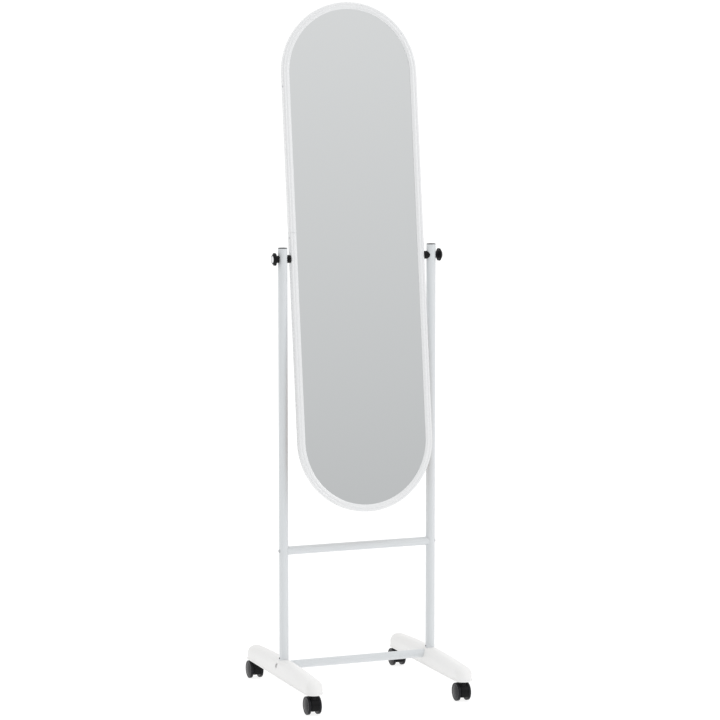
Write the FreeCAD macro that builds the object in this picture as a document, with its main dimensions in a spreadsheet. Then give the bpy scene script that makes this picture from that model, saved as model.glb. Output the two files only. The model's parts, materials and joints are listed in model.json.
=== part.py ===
import FreeCAD, Part
import math
import operator
import os
from types import SimpleNamespace

import Sketcher

# A cheval floor mirror on casters: a long mirror with round ends hangs between two uprights on
# clamp knobs, and the uprights stand in two moulded feet joined by crossbars.
# Frame: origin on the floor midway between the uprights, +X to the right of someone facing the
# mirror, +Y to the rear, +Z up. All sizes in millimetres.

# Driving sizes: alias, value, what it is.
SIZES = [
    ("upright_spacing", 358, "centre to centre of the two uprights"),
    ("upright_diameter", 21, "outside of the upright tube"),
    ("upright_wall", 1.2, "wall of the upright tube"),
    ("upright_low_end", 56, "lower end of the tube inside the foot"),
    ("upright_top", 1016, "top end of the tube"),
    ("cap_rim_height", 1.2, "black end cap standing above the tube"),
    ("cap_rim_step", 0.4, "rim of the cap inside the tube's outline"),
    ("cap_plug_length", 14, "cap's plug inside the tube"),
    ("bar_diameter", 19, "outside of both crossbars"),
    ("bar_wall", 1.2, "wall of both crossbars"),
    ("middle_bar_height", 334, "axis of the middle crossbar"),
    ("lower_bar_height", 72, "axis of the lower crossbar"),
    ("lower_bar_seat", 6.5, "depth of the lower crossbar's seat in each foot"),
    ("insert_length", 22, "threaded plug in each crossbar end"),
    ("bar_screw_reach", 26, "bar screw's thread inside the crossbar"),
    ("screw_radius", 3, "shank of knob bolts and bar screws"),
    ("head_radius", 4.2, "round head of the bar screws"),
    ("head_height", 1.3, "height of the bar screws' heads"),
    ("pivot_height", 992, "axis that the mirror tilts about"),
    ("mirror_tilt", 6.8, "lean of the mirror's top to the rear, degrees"),
    ("mirror_width", 322, "outside of the mirror frame"),
    ("mirror_height", 1145, "outside of the mirror frame"),
    ("frame_front", 5.5, "front of the frame ahead of the tilt axis"),
    ("frame_depth", 15, "front to back of the frame section"),
    ("rim_width", 15.8, "face of the frame, outer edge to lip"),
    ("box_width", 12, "hollow part of the frame section"),
    ("frame_wall", 1.2, "wall of the hollow part"),
    ("face_thickness", 3.2, "front web of the frame section"),
    ("bead_width", 6.2, "outer bead of the face"),
    ("inner_bead_width", 6.6, "inner bead of the face"),
    ("outer_bead_radius", 4.3, "rounding of the outer bead"),
    ("inner_bead_radius", 6.5, "rounding of the inner bead"),
    ("groove_depth", 0.9, "groove between the beads"),
    ("shoulder_depth", 2, "where the outer bead meets the side wall"),
    ("lip_front", 2.3, "front of the lip's edge behind the face"),
    ("lip_back", 3.6, "back of the lip, where the glass seats"),
    ("seam_height", 58, "butt joint of the frame above the tilt axis"),
    ("seam_gap", 0.4, "gap at the butt joint"),
    ("sleeve_length", 60, "sleeve inside the butt joint"),
    ("low_side_screw", 47, "lower side screw above the tilt axis"),
    ("high_side_screw", 384, "upper side screw above the tilt axis"),
    ("side_screw_radius", 1.5, "shank of a side screw"),
    ("side_head_radius", 2.5, "head of a side screw"),
    ("side_head_height", 0.8, "head of a side screw"),
    ("side_screw_length", 7, "shank of a side screw"),
    ("pane_clearance", 0.4, "gap round the glass and the board"),
    ("layer_gap", 0.1, "gap between lip, glass and board"),
    ("glass_thickness", 3, "mirror glass"),
    ("board_thickness", 3, "backing board"),
    ("clip_length", 14, "clip along the frame"),
    ("clip_reach", 11, "clip's leg over the board"),
    ("clip_thickness", 0.8, "sheet of the clips"),
    ("clip_leg", 3.6, "clip's leg along the frame's box"),
    ("clip_spacing", 230, "distance between the side clips"),
    ("pivot_insert_radius", 4, "threaded insert in the frame's side"),
    ("pivot_insert_length", 9.5, "threaded insert in the frame's side"),
    ("spacer_radius", 9, "saddle spacer between upright and frame"),
    ("spacer_gap", 0.3, "free gap between spacer and frame"),
    ("washer_radius", 8, "saddle washer under the knob, and the knob's hub"),
    ("washer_seat", 12.5, "outer face of the washer from the tube's axis"),
    ("washer_wrap", 1.5, "how far the washer reaches round the tube"),
    ("hub_start", 12.7, "start of the knob's hub from the tube's axis"),
    ("flange_start", 17, "start of the knob's fluted flange"),
    ("flange_end", 21.2, "end of the fluted flange's rim"),
    ("knob_end", 24.4, "outer end of the knob"),
    ("knob_radius", 14.6, "fluted flange of the knob"),
    ("knob_face_radius", 9.2, "outer face of the knob"),
    ("flute_radius", 4, "cutter of a flute"),
    ("flute_depth", 1.7, "depth of a flute"),
    ("flute_count", 8, "flutes round the knob"),
    ("bolt_head_radius", 5.4, "hexagon head inside the knob, across corners"),
    ("bolt_head_start", 18.2, "seat of the hexagon head"),
    ("bolt_head_height", 4, "hexagon head"),
    ("knob_cap_radius", 7.8, "inset cap in the knob's face"),
    ("knob_cap_depth", 1.4, "inset cap in the knob's face"),
    ("bolt_reach", 25, "knob bolt inward of the tube's axis"),
    ("thread_pitch", 1, "advance of a knob in one turn"),
    ("foot_length", 420, "front to back of a foot"),
    ("foot_width", 40, "width of a foot"),
    ("foot_base", 47, "underside of a foot above the floor"),
    ("foot_crown", 86, "top of a foot at the upright"),
    ("foot_end_height", 78, "top of a foot at its ends, before rounding"),
    ("foot_edge_radius", 18, "rounding of a foot's top edge"),
    ("foot_wall", 3, "wall of a foot beside its hollows"),
    ("foot_roof", 72, "top of the hollows in a foot"),
    ("foot_core", 64, "length of a foot's solid middle"),
    ("foot_tip", 58, "length of a foot's solid ends"),
    ("lip_height", 3.5, "flange round a foot's underside"),
    ("lip_out", 1, "flange round a foot's underside"),
    ("recess_radius", 6, "recess of the lower bar's screw"),
    ("recess_depth", 5, "recess of the lower bar's screw"),
    ("lock_screw_height", 88.6, "locking screw just above the foot"),
    ("lock_head_radius", 1.7, "head of the locking screw"),
    ("lock_head_height", 1.2, "head of the locking screw"),
    ("caster_reach", 192, "caster stem in front of and behind the upright"),
    ("caster_trail", 10, "wheel axle behind the caster stem"),
    ("wheel_radius", 20.6, "caster wheel"),
    ("wheel_inner", 9, "inner face of a wheel from the caster's middle"),
    ("wheel_tread_end", 14.6, "outer end of the tread"),
    ("wheel_rim_end", 15.6, "outer rim of a wheel"),
    ("wheel_dome_end", 17.2, "top of a wheel's domed face"),
    ("wheel_bevel", 1.1, "bevel of the tread's edges"),
    ("dome_radius", 17, "edge of a wheel's domed face"),
    ("dome_curve", 64, "curvature of a wheel's domed face"),
    ("axle_radius", 2.5, "caster axle"),
    ("axle_reach", 13.8, "half length of a caster axle"),
    ("hub_depth", 14.2, "bottom of a wheel's bore from the caster's middle"),
    ("hood_half_width", 8.4, "half width of a caster's hood"),
    ("hood_radius", 21.4, "caster hood round the axle"),
    ("hood_floor", 10.5, "underside of a caster's hood"),
    ("hood_edge", 1.2, "rounding of a hood's edges"),
    ("stem_radius", 4, "caster stem"),
    ("stem_low_end", 28, "stem's end inside the hood"),
    ("stem_top", 66, "top of the stem in the foot"),
    ("stem_boss_radius", 5.7, "round boss of the hood about the stem"),
    ("stem_gap", 0.5, "gap between the hood's boss and the foot"),
    ("socket_radius", 5.6, "sleeve that the stem turns in"),
    ("socket_top", 69, "top of the sleeve"),
    ("running_gap", 0.05, "radial clearance of what turns in a bore"),
    ("seat_gap", 0.1, "radial clearance of fixed pieces in their seats"),
    ("bolt_gap", 0.15, "radial clearance of a bolt through a tube"),
]

doc = FreeCAD.newDocument("cheval_mirror")
sheet = doc.addObject("Spreadsheet::Sheet", "sizes")
for row, (alias, value, meaning) in enumerate(SIZES, start=1):
    sheet.set(f"A{row}", meaning)
    sheet.set(f"B{row}", str(value))
    sheet.setAlias(f"B{row}", alias)
doc.recompute()


class Term:
    """A number together with the spreadsheet expression that gives it."""

    def __init__(self, value, text):
        self.value = value
        self.text = text

    def mixed(self, other, sign, swapped=False):
        other = as_term(other)
        first, second = (other, self) if swapped else (self, other)
        return Term(OPERATIONS[sign](first.value, second.value), f"({first.text} {sign} {second.text})")

    def __add__(self, other):
        return self.mixed(other, "+")

    def __radd__(self, other):
        return self.mixed(other, "+", swapped=True)

    def __sub__(self, other):
        return self.mixed(other, "-")

    def __rsub__(self, other):
        return self.mixed(other, "-", swapped=True)

    def __mul__(self, other):
        return self.mixed(other, "*")

    def __rmul__(self, other):
        return self.mixed(other, "*", swapped=True)

    def __truediv__(self, other):
        return self.mixed(other, "/")

    def __neg__(self):
        return Term(-self.value, f"(-1 * {self.text})")


OPERATIONS = {"+": operator.add, "-": operator.sub, "*": operator.mul, "/": operator.truediv}


def as_term(amount):
    return amount if isinstance(amount, Term) else Term(float(amount), repr(float(amount)))


s = SimpleNamespace(**{alias: Term(float(value), f"sizes.{alias}") for alias, value, _ in SIZES})

# Sizes that follow from the driving ones.
upright_radius = s.upright_diameter / 2
bar_radius = s.bar_diameter / 2
side_x = s.upright_spacing / 2
frame_half_width = s.mirror_width / 2
arc_height = (s.mirror_height - s.mirror_width) / 2
frame_face = -s.frame_front
frame_back = s.frame_depth - s.frame_front
glass_front = frame_face + s.lip_back + s.layer_gap
board_front = glass_front + s.glass_thickness + s.layer_gap
board_back = board_front + s.board_thickness
pane_inset = s.box_width + s.pane_clearance
lower_bar_end = side_x - s.foot_width / 2 + s.lower_bar_seat

LARGE = 2000.0
SIDES = {"left": -1, "right": 1}
ENDS = {"front": -1, "rear": 1}
AXIS_TURNS = {
    "x": FreeCAD.Rotation(FreeCAD.Vector(0, 1, 0), 90),
    "y": FreeCAD.Rotation(FreeCAD.Vector(1, 0, 0), -90),
    "z": FreeCAD.Rotation(),
}

nodes = {}


def bind(target, path, amount):
    target.setExpression(path, as_term(amount).text)


def place(piece, x=0, y=0, z=0, turn=None):
    spot = FreeCAD.Vector(as_term(x).value, as_term(y).value, as_term(z).value)
    piece.Placement = FreeCAD.Placement(spot, turn or FreeCAD.Rotation())
    for letter, amount in zip("xyz", (x, y, z)):
        bind(piece, f"Placement.Base.{letter}", amount)
    return piece


def keep(node, piece):
    """Give a finished sub-part its label, which is also its file's name."""
    piece.Label = node
    nodes[node] = piece
    return piece


def keep_on_mirror(node, piece):
    """Keep a sub-part drawn about the tilt axis and lean it back with the mirror."""
    lean = FreeCAD.Rotation(FreeCAD.Vector(1, 0, 0), -s.mirror_tilt.value)
    piece.Placement = FreeCAD.Placement(FreeCAD.Vector(0, 0, s.pivot_height.value), lean)
    bind(piece, "Placement.Base.z", s.pivot_height)
    bind(piece, "Placement.Rotation.Angle", -s.mirror_tilt)
    return keep(node, piece)


# Part primitives and booleans.


def rod(radius, length, along="z", x=0, y=0, z=0):
    """Cylinder from (x, y, z) along +x, +y or +z."""
    piece = doc.addObject("Part::Cylinder", "rod")
    bind(piece, "Radius", radius)
    bind(piece, "Height", length)
    return place(piece, x, y, z, AXIS_TURNS[along])


def side_rod(side, radius, inner, outer, y=0, z=0):
    """Cylinder along X on one side of the object, between two distances from the middle."""
    start = inner if side > 0 else -outer
    return rod(radius, outer - inner, "x", start, y, z)


def block(x0, x1, y0, y1, z0, z1):
    piece = doc.addObject("Part::Box", "block")
    bind(piece, "Length", x1 - x0)
    bind(piece, "Width", y1 - y0)
    bind(piece, "Height", z1 - z0)
    return place(piece, x0, y0, z0)


def joined(*pieces):
    result = doc.addObject("Part::MultiFuse", "joined")
    result.Shapes = list(pieces)
    return result


def carved(base, *tools):
    result = doc.addObject("Part::Cut", "carved")
    result.Base = base
    result.Tool = tools[0] if len(tools) == 1 else joined(*tools)
    return result


def grouped(pieces):
    result = doc.addObject("Part::Compound", "group")
    result.Links = list(pieces)
    return result


# Sketches and PartDesign features.


def new_body():
    return doc.addObject("PartDesign::Body", "body")


def new_sketch(body, role, lift=0):
    """Sketch on one of the body's own origin planes, lifted along its normal."""
    sketch = body.newObject("Sketcher::SketchObject", "sketch")
    plane = [feature for feature in body.Origin.OriginFeatures if feature.Role == role][0]
    sketch.AttachmentSupport = [(plane, "")]
    sketch.MapMode = "FlatFace"
    bind(sketch, "AttachmentOffset.Base.z", lift)
    return sketch


def pin(sketch, edge, end, x, y):
    """Fix a point of an edge at (x, y) in the sketch."""
    for kind, amount in (("DistanceX", x), ("DistanceY", y)):
        amount = as_term(amount)
        number = sketch.addConstraint(Sketcher.Constraint(kind, -1, 1, edge, end, amount.value))
        bind(sketch, f"Constraints[{number}]", amount)


def bind_radius(sketch, edge, radius):
    number = sketch.addConstraint(Sketcher.Constraint("Radius", edge, radius.value))
    bind(sketch, f"Constraints[{number}]", radius)


def draw_circle(sketch, x, y, radius):
    radius = as_term(radius)
    centre = FreeCAD.Vector(as_term(x).value, as_term(y).value, 0)
    edge = sketch.addGeometry(Part.Circle(centre, FreeCAD.Vector(0, 0, 1), radius.value))
    pin(sketch, edge, 3, x, y)
    bind_radius(sketch, edge, radius)


def arc_between(first, last, radius, bulge):
    """Arc from first to last; bulge +1 swells to the left of the way there, -1 to the right."""
    chord = last - first
    to_centre = math.sqrt(radius**2 - (chord.Length / 2) ** 2)
    inward = FreeCAD.Vector(chord.y, -chord.x, 0).normalize() * bulge
    centre = (first + last) / 2 + inward * to_centre
    start, finish = (last, first) if bulge > 0 else (first, last)
    angles = [math.atan2(point.y - centre.y, point.x - centre.x) for point in (start, finish)]
    if angles[1] < angles[0]:
        angles[1] += 2 * math.pi
    return Part.ArcOfCircle(Part.Circle(centre, FreeCAD.Vector(0, 0, 1), radius), *angles)


def draw_outline(sketch, corners, arcs=None):
    """Closed outline through the corners; arcs maps an edge's number to (radius, bulge)."""
    arcs = arcs or {}
    points = [FreeCAD.Vector(as_term(x).value, as_term(y).value, 0) for x, y in corners]
    ends = []
    for number, first in enumerate(points):
        last = points[(number + 1) % len(points)]
        if number in arcs:
            radius, bulge = arcs[number]
            edge = sketch.addGeometry(arc_between(first, last, radius.value, bulge))
            bind_radius(sketch, edge, radius)
            forward = (sketch.Geometry[edge].StartPoint - first).Length < 1e-6
            ends.append((edge, 1 if forward else 2, 2 if forward else 1))
        else:
            edge = sketch.addGeometry(Part.LineSegment(first, last))
            ends.append((edge, 1, 2))
    for number, (edge, start, _) in enumerate(ends):
        before, _, finish = ends[number - 1]
        sketch.addConstraint(Sketcher.Constraint("Coincident", before, finish, edge, start))
        pin(sketch, edge, start, *corners[number])


def draw_rectangle(sketch, x0, x1, y0, y1):
    draw_outline(sketch, [(x0, y0), (x1, y0), (x1, y1), (x0, y1)])


def draw_stadium(sketch, half_length, radius):
    """Slot shape along the sketch's y, with round ends of the given radius."""
    radius = as_term(radius)
    centre = as_term(half_length - radius)
    up = FreeCAD.Vector(0, 0, 1)
    arcs = []
    for sign in (1, -1):
        middle = FreeCAD.Vector(0, sign * centre.value, 0)
        start = 0 if sign > 0 else math.pi
        circle = Part.Circle(middle, up, radius.value)
        arc = sketch.addGeometry(Part.ArcOfCircle(circle, start, start + math.pi))
        pin(sketch, arc, 3, 0, sign * centre)
        bind_radius(sketch, arc, radius)
        arcs.append(arc)
    for x_sign, upper_end, lower_end in ((1, 1, 2), (-1, 2, 1)):
        x = x_sign * radius.value
        line = Part.LineSegment(FreeCAD.Vector(x, centre.value, 0), FreeCAD.Vector(x, -centre.value, 0))
        edge = sketch.addGeometry(line)
        sketch.addConstraint(Sketcher.Constraint("Coincident", arcs[0], upper_end, edge, 1))
        sketch.addConstraint(Sketcher.Constraint("Coincident", arcs[1], lower_end, edge, 2))
        for arc, end, sign in ((arcs[0], upper_end, 1), (arcs[1], lower_end, -1)):
            amount = as_term(sign * centre)
            level = Sketcher.Constraint("DistanceY", -1, 1, arc, end, amount.value)
            bind(sketch, f"Constraints[{sketch.addConstraint(level)}]", amount)


def volume_after(body):
    doc.recompute()
    return body.Shape.Volume


def pad(body, sketch, length, symmetric=False, backwards=False):
    feature = body.newObject("PartDesign::Pad", "pad")
    feature.Profile = sketch
    feature.SideType = "Symmetric" if symmetric else "One side"
    feature.Reversed = backwards
    bind(feature, "Length", length)
    return feature


def pocket(body, sketch, length, symmetric=False, backwards=False):
    """Pocket of a stated depth; with backwards it goes along the sketch's normal."""
    before = volume_after(body)
    feature = body.newObject("PartDesign::Pocket", "pocket")
    feature.Profile = sketch
    feature.SideType = "Symmetric" if symmetric else "One side"
    feature.Reversed = backwards
    bind(feature, "Length", length)
    if volume_after(body) > before - 0.01:
        raise RuntimeError(f"a pocket of {body.Label} cuts nothing")
    return feature


def revolve(body, sketch, axis, angle=360, backwards=False):
    feature = body.newObject("PartDesign::Revolution", "revolution")
    feature.Profile = sketch
    feature.ReferenceAxis = (sketch, [axis])
    feature.Angle = angle
    feature.Reversed = backwards
    return feature


def round_edges(body, radius, chosen):
    """Round the edges that the test picks from the body's present shape."""
    doc.recompute()
    tip = body.Tip
    names = [f"Edge{i}" for i, edge in enumerate(tip.Shape.Edges, start=1) if chosen(edge)]
    feature = body.newObject("PartDesign::Fillet", "rounding")
    feature.Base = (tip, names)
    bind(feature, "Radius", radius)
    doc.recompute()
    return feature


# The mirror: frame, glass, backing and what holds them. All are drawn about the tilt axis.


def frame_section(body, lift):
    """Closed section of the frame at its left side: beaded face, lip and hollow box."""
    sketch = new_sketch(body, "XY_Plane", lift)
    edge = -frame_half_width
    groove = frame_face + s.groove_depth
    second_end = edge + s.bead_width + s.inner_bead_width
    corners = [
        (edge, frame_back),
        (edge, frame_face + s.shoulder_depth),
        (edge + s.bead_width, groove),
        (second_end, groove),
        (edge + s.rim_width, frame_face + s.lip_front),
        (edge + s.rim_width, frame_face + s.lip_back),
        (edge + s.box_width, frame_face + s.lip_back),
        (edge + s.box_width, frame_back),
    ]
    draw_outline(sketch, corners, {1: (s.outer_bead_radius, -1), 2: (s.inner_bead_radius, -1)})
    draw_rectangle(
        sketch,
        edge + s.frame_wall,
        edge + s.box_width - s.frame_wall,
        frame_face + s.face_thickness,
        frame_back - s.frame_wall,
    )
    return sketch


def side_bore(body, side, radius, heights):
    """Round holes through the outer side wall of the frame."""
    start = s.box_width - 2 * s.frame_wall
    lift = side * (frame_half_width - start)
    sketch = new_sketch(body, "YZ_Plane", lift)
    for height in heights:
        draw_circle(sketch, frame_middle, height, radius)
    pocket(body, sketch, start + 1, backwards=side > 0)


frame_middle = as_term(0)


def mirror_frame():
    body = new_body()
    side_bar = pad(body, frame_section(body, 0), 2 * arc_height, symmetric=True)
    doc.recompute()
    mirrored = body.newObject("PartDesign::Mirrored", "other_side")
    mirrored.Originals = [side_bar]
    plane = [feature for feature in body.Origin.OriginFeatures if feature.Role == "YZ_Plane"][0]
    mirrored.MirrorPlane = (plane, [""])
    body.Tip = mirrored
    doc.recompute()
    revolve(body, frame_section(body, arc_height), "V_Axis", 180)
    doc.recompute()
    revolve(body, frame_section(body, -arc_height), "V_Axis", 180, backwards=True)
    seam = new_sketch(body, "XZ_Plane")
    draw_rectangle(
        seam,
        -frame_half_width - 1,
        -frame_half_width + s.rim_width + 1,
        s.seam_height - s.seam_gap / 2,
        s.seam_height + s.seam_gap / 2,
    )
    pocket(body, seam, 4 * s.frame_depth, symmetric=True)
    for side in SIDES.values():
        side_bore(body, side, s.pivot_insert_radius + s.seat_gap, [0])
    side_bore(body, SIDES["left"], s.side_screw_radius + s.seat_gap, [s.low_side_screw, s.high_side_screw])
    keep_on_mirror("mirror_frame", body)


def pane(node, front, thickness):
    """Flat sheet with round ends, seated behind the frame's lip."""
    body = new_body()
    sketch = new_sketch(body, "XZ_Plane", -front - thickness)
    draw_stadium(sketch, s.mirror_height / 2 - pane_inset, frame_half_width - pane_inset)
    pad(body, sketch, thickness)
    keep_on_mirror(node, body)


def joint_sleeve():
    """Box sleeve that closes the butt joint from inside the hollow section."""
    gap = s.frame_wall + s.seat_gap
    x0 = -frame_half_width + gap
    x1 = -frame_half_width + s.box_width - gap
    y0 = frame_face + s.face_thickness + s.seat_gap
    y1 = frame_back - gap
    z0 = s.seam_height - s.sleeve_length / 2
    z1 = s.seam_height + s.sleeve_length / 2
    wall = s.frame_wall
    sleeve = block(x0, x1, y0, y1, z0, z1)
    hollow = block(x0 + wall, x1 - wall, y0 + wall, y1 - wall, z0 - 1, z1 + 1)
    bore_radius = s.side_screw_radius + s.seat_gap
    box_wall = frame_half_width - s.box_width
    bore = side_rod(-1, bore_radius, box_wall, frame_half_width, frame_middle, s.low_side_screw)
    keep_on_mirror("frame_joint_sleeve", carved(sleeve, hollow, bore))


def side_screws():
    """Small screws in the frame's left side wall, beside its butt joint."""
    screws = []
    side = SIDES["left"]
    wall = frame_half_width
    inner_end = wall - s.side_screw_length
    for height in (s.low_side_screw, s.high_side_screw):
        head = side_rod(side, s.side_head_radius, wall, wall + s.side_head_height, frame_middle, height)
        shank = side_rod(side, s.side_screw_radius, inner_end, wall, frame_middle, height)
        screws.append(joined(head, shank))
    keep_on_mirror("frame_side_screws", grouped(screws))


def backing_clips():
    """Angle clips on the frame's box that press the backing board forward."""
    clips = []
    wall_x = frame_half_width - s.box_width
    for side in SIDES.values():
        for step in (-1.5, -0.5, 0.5, 1.5):
            z0 = step * s.clip_spacing - s.clip_length / 2
            z1 = z0 + s.clip_length
            y0 = board_back + s.layer_gap
            inner = wall_x - s.clip_reach
            x0, x1 = (inner, wall_x) if side > 0 else (-wall_x, -inner)
            foot = block(x0, x1, y0, y0 + s.clip_thickness, z0, z1)
            near = wall_x - s.clip_thickness
            x0, x1 = (near, wall_x) if side > 0 else (-wall_x, -near)
            leg = block(x0, x1, y0, y0 + s.clip_leg, z0, z1)
            clips.append(joined(foot, leg))
    keep_on_mirror("backing_clips", grouped(clips))


def pivot_insert(name, side):
    """Threaded insert in the frame's side wall that the knob's bolt screws into."""
    inner = frame_half_width - s.pivot_insert_length
    shell = side_rod(side, s.pivot_insert_radius, inner, frame_half_width)
    bore = side_rod(side, s.screw_radius + s.running_gap, inner - 1, frame_half_width + 1)
    keep_on_mirror(f"pivot_insert_{name}", carved(shell, bore))


# The stand: uprights, caps, spacers, crossbars and their fasteners.


def upright(name, side):
    """Round tube with cross holes for the knob bolt and both bars' screws."""
    x = side * side_x
    length = s.upright_top - s.upright_low_end
    tube = rod(upright_radius, length, "z", x, 0, s.upright_low_end)
    hollow = rod(upright_radius - s.upright_wall, length, "z", x, 0, s.upright_low_end)
    through = []
    for height in (s.pivot_height, s.middle_bar_height, s.lower_bar_height):
        radius = s.screw_radius + s.bolt_gap
        through.append(rod(radius, 2 * s.upright_diameter, "x", x - s.upright_diameter, 0, height))
    lock = rod(s.side_screw_radius + s.seat_gap, s.upright_diameter, "x", x - s.upright_diameter, 0,
               s.lock_screw_height)
    keep(f"upright_{name}", carved(tube, hollow, *through, lock))


def tube_cap(name, side):
    """Plastic plug that closes the top of an upright."""
    x = side * side_x
    plug_radius = upright_radius - s.upright_wall - s.seat_gap
    plug = rod(plug_radius, s.cap_plug_length, "z", x, 0, s.upright_top - s.cap_plug_length)
    rim = rod(upright_radius - s.cap_rim_step, s.cap_rim_height, "z", x, 0, s.upright_top)
    keep(f"tube_cap_{name}", joined(plug, rim))


def inner_spacer(name, side):
    """Round spacer with a saddle end against the tube and a flat end beside the frame."""
    flat_end = frame_half_width + s.spacer_gap
    disc = side_rod(side, s.spacer_radius, flat_end, side_x, 0, s.pivot_height)
    tube = rod(upright_radius + s.seat_gap, LARGE, "z", side * side_x)
    bore_radius = s.screw_radius + s.bolt_gap
    bore = side_rod(side, bore_radius, flat_end - 1, side_x, 0, s.pivot_height)
    keep(f"inner_spacer_{name}", carved(disc, tube, bore))


def middle_crossbar():
    """Tube between the uprights with ends coped to fit round them."""
    bar = rod(bar_radius, 2 * side_x, "x", -side_x, 0, s.middle_bar_height)
    hollow = rod(bar_radius - s.bar_wall, 2 * side_x, "x", -side_x, 0, s.middle_bar_height)
    tubes = [rod(upright_radius + s.seat_gap, LARGE, "z", side * side_x) for side in SIDES.values()]
    keep("middle_crossbar", carved(bar, hollow, *tubes))


def lower_crossbar():
    """Tube between the feet, seated in a shallow recess of each."""
    bar = rod(bar_radius, 2 * lower_bar_end, "x", -lower_bar_end, 0, s.lower_bar_height)
    hollow = rod(bar_radius - s.bar_wall, 2 * lower_bar_end, "x", -lower_bar_end, 0, s.lower_bar_height)
    keep("lower_crossbar", carved(bar, hollow))


def bar_inserts(node, bar_end, height):
    """Threaded plugs in both ends of a crossbar."""
    plugs = []
    for side in SIDES.values():
        inner = bar_end - s.insert_length
        plug = side_rod(side, bar_radius - s.bar_wall - s.seat_gap, inner, bar_end, 0, height)
        bore = side_rod(side, s.screw_radius + s.running_gap, inner - 1, bar_end + 1, 0, height)
        plugs.append(carved(plug, bore))
    keep(node, grouped(plugs))


def bar_screws(node, head_seat, bar_end, height):
    """Screws from outside the uprights or feet into a crossbar's ends."""
    screws = []
    for side in SIDES.values():
        head = side_rod(side, s.head_radius, head_seat, head_seat + s.head_height, 0, height)
        shank = side_rod(side, s.screw_radius, bar_end - s.bar_screw_reach, head_seat, 0, height)
        screws.append(joined(head, shank))
    keep(node, grouped(screws))


def lock_screws():
    """Small screw through each upright's left wall just above the foot."""
    screws = []
    for side in SIDES.values():
        wall = side * side_x - upright_radius
        head = rod(s.lock_head_radius, s.lock_head_height, "x", wall - s.lock_head_height, 0,
                   s.lock_screw_height)
        shank = rod(s.side_screw_radius, 3 * s.upright_wall, "x", wall, 0, s.lock_screw_height)
        screws.append(joined(head, shank))
    keep("foot_lock_screws", grouped(screws))


# The feet and the sleeves that the casters plug into.


def foot(name, side):
    """Moulded foot: slot-shaped plan, crowned top with round edges, hollow underneath."""
    body = new_body()
    half_length = s.foot_length / 2
    half_width = s.foot_width / 2
    outline = new_sketch(body, "XY_Plane", s.foot_base)
    draw_stadium(outline, half_length, half_width)
    pad(body, outline, s.foot_crown - s.foot_base)

    drop = s.foot_crown - s.foot_end_height
    crown_radius = (half_length * half_length + drop * drop) / (2 * drop)
    above = new_sketch(body, "YZ_Plane")
    corners = [
        (half_length, s.foot_end_height),
        (-half_length, s.foot_end_height),
        (-half_length - 1, s.foot_end_height),
        (-half_length - 1, s.foot_crown + 1),
        (half_length + 1, s.foot_crown + 1),
        (half_length + 1, s.foot_end_height),
    ]
    draw_outline(above, corners, {0: (crown_radius, -1)})
    pocket(body, above, 2 * s.foot_width, symmetric=True)
    end_level = s.foot_end_height.value - 1
    round_edges(body, s.foot_edge_radius, lambda edge: edge.BoundBox.ZMin > end_level)

    flange = new_sketch(body, "XY_Plane", s.foot_base)
    draw_stadium(flange, half_length + s.lip_out, half_width + s.lip_out)
    pad(body, flange, s.lip_height)

    for end in ENDS.values():
        bay = new_sketch(body, "XY_Plane", s.foot_base)
        near = end * s.foot_core / 2
        far = end * (half_length - s.foot_tip)
        low, high = (near, far) if end > 0 else (far, near)
        draw_rectangle(bay, s.foot_wall - half_width, half_width - s.foot_wall, low, high)
        pocket(body, bay, s.foot_roof - s.foot_base, backwards=True)
    stem_holes = new_sketch(body, "XY_Plane", s.foot_base)
    for end in ENDS.values():
        draw_circle(stem_holes, 0, end * s.caster_reach, s.socket_radius + s.seat_gap)
    pocket(body, stem_holes, s.socket_top - s.foot_base, backwards=True)
    tube_hole = new_sketch(body, "XY_Plane", s.upright_low_end)
    draw_circle(tube_hole, 0, 0, upright_radius + s.seat_gap)
    pocket(body, tube_hole, s.foot_crown, backwards=True)

    cuts = [
        (-1, half_width - s.lower_bar_seat, bar_radius + s.seat_gap),
        (1, half_width - s.recess_depth, s.recess_radius),
    ]
    for way, depth, radius in cuts:
        seat = new_sketch(body, "YZ_Plane", side * way * depth)
        draw_circle(seat, 0, s.lower_bar_height, radius)
        pocket(body, seat, s.foot_width, backwards=side * way > 0)
    cross_hole = new_sketch(body, "YZ_Plane")
    draw_circle(cross_hole, 0, s.lower_bar_height, s.screw_radius + s.bolt_gap)
    pocket(body, cross_hole, 2 * s.foot_width, symmetric=True)
    place(body, side * side_x)
    keep(f"foot_{name}", body)


def caster_sockets():
    """Sleeves in the feet's ends that the caster stems turn in."""
    sleeves = []
    for side in SIDES.values():
        for end in ENDS.values():
            x = side * side_x
            y = end * s.caster_reach
            length = s.socket_top - s.foot_base
            sleeve = rod(s.socket_radius, length, "z", x, y, s.foot_base)
            bore = rod(s.stem_radius + s.running_gap, length, "z", x, y, s.foot_base)
            sleeves.append(carved(sleeve, bore))
    keep("caster_sockets", grouped(sleeves))


# Knobs, drawn about their own bolt with the outward way along +X.


def at_knob(piece, side):
    turn = FreeCAD.Rotation(FreeCAD.Vector(0, 0, 1), 0 if side > 0 else 180)
    return place(piece, side * side_x, 0, s.pivot_height, turn)


def saddle_washer(name, side):
    """Washer between the upright and the knob, hollowed to sit on the tube."""
    start = upright_radius - s.washer_wrap
    disc = rod(s.washer_radius, s.washer_seat - start, "x", start)
    tube = rod(upright_radius + s.seat_gap, LARGE, "z", 0, 0, -LARGE / 2)
    bore = rod(s.screw_radius + s.bolt_gap, 2 * s.washer_seat, "x")
    keep(f"saddle_washer_{name}", at_knob(carved(disc, tube, bore), side))


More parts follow.
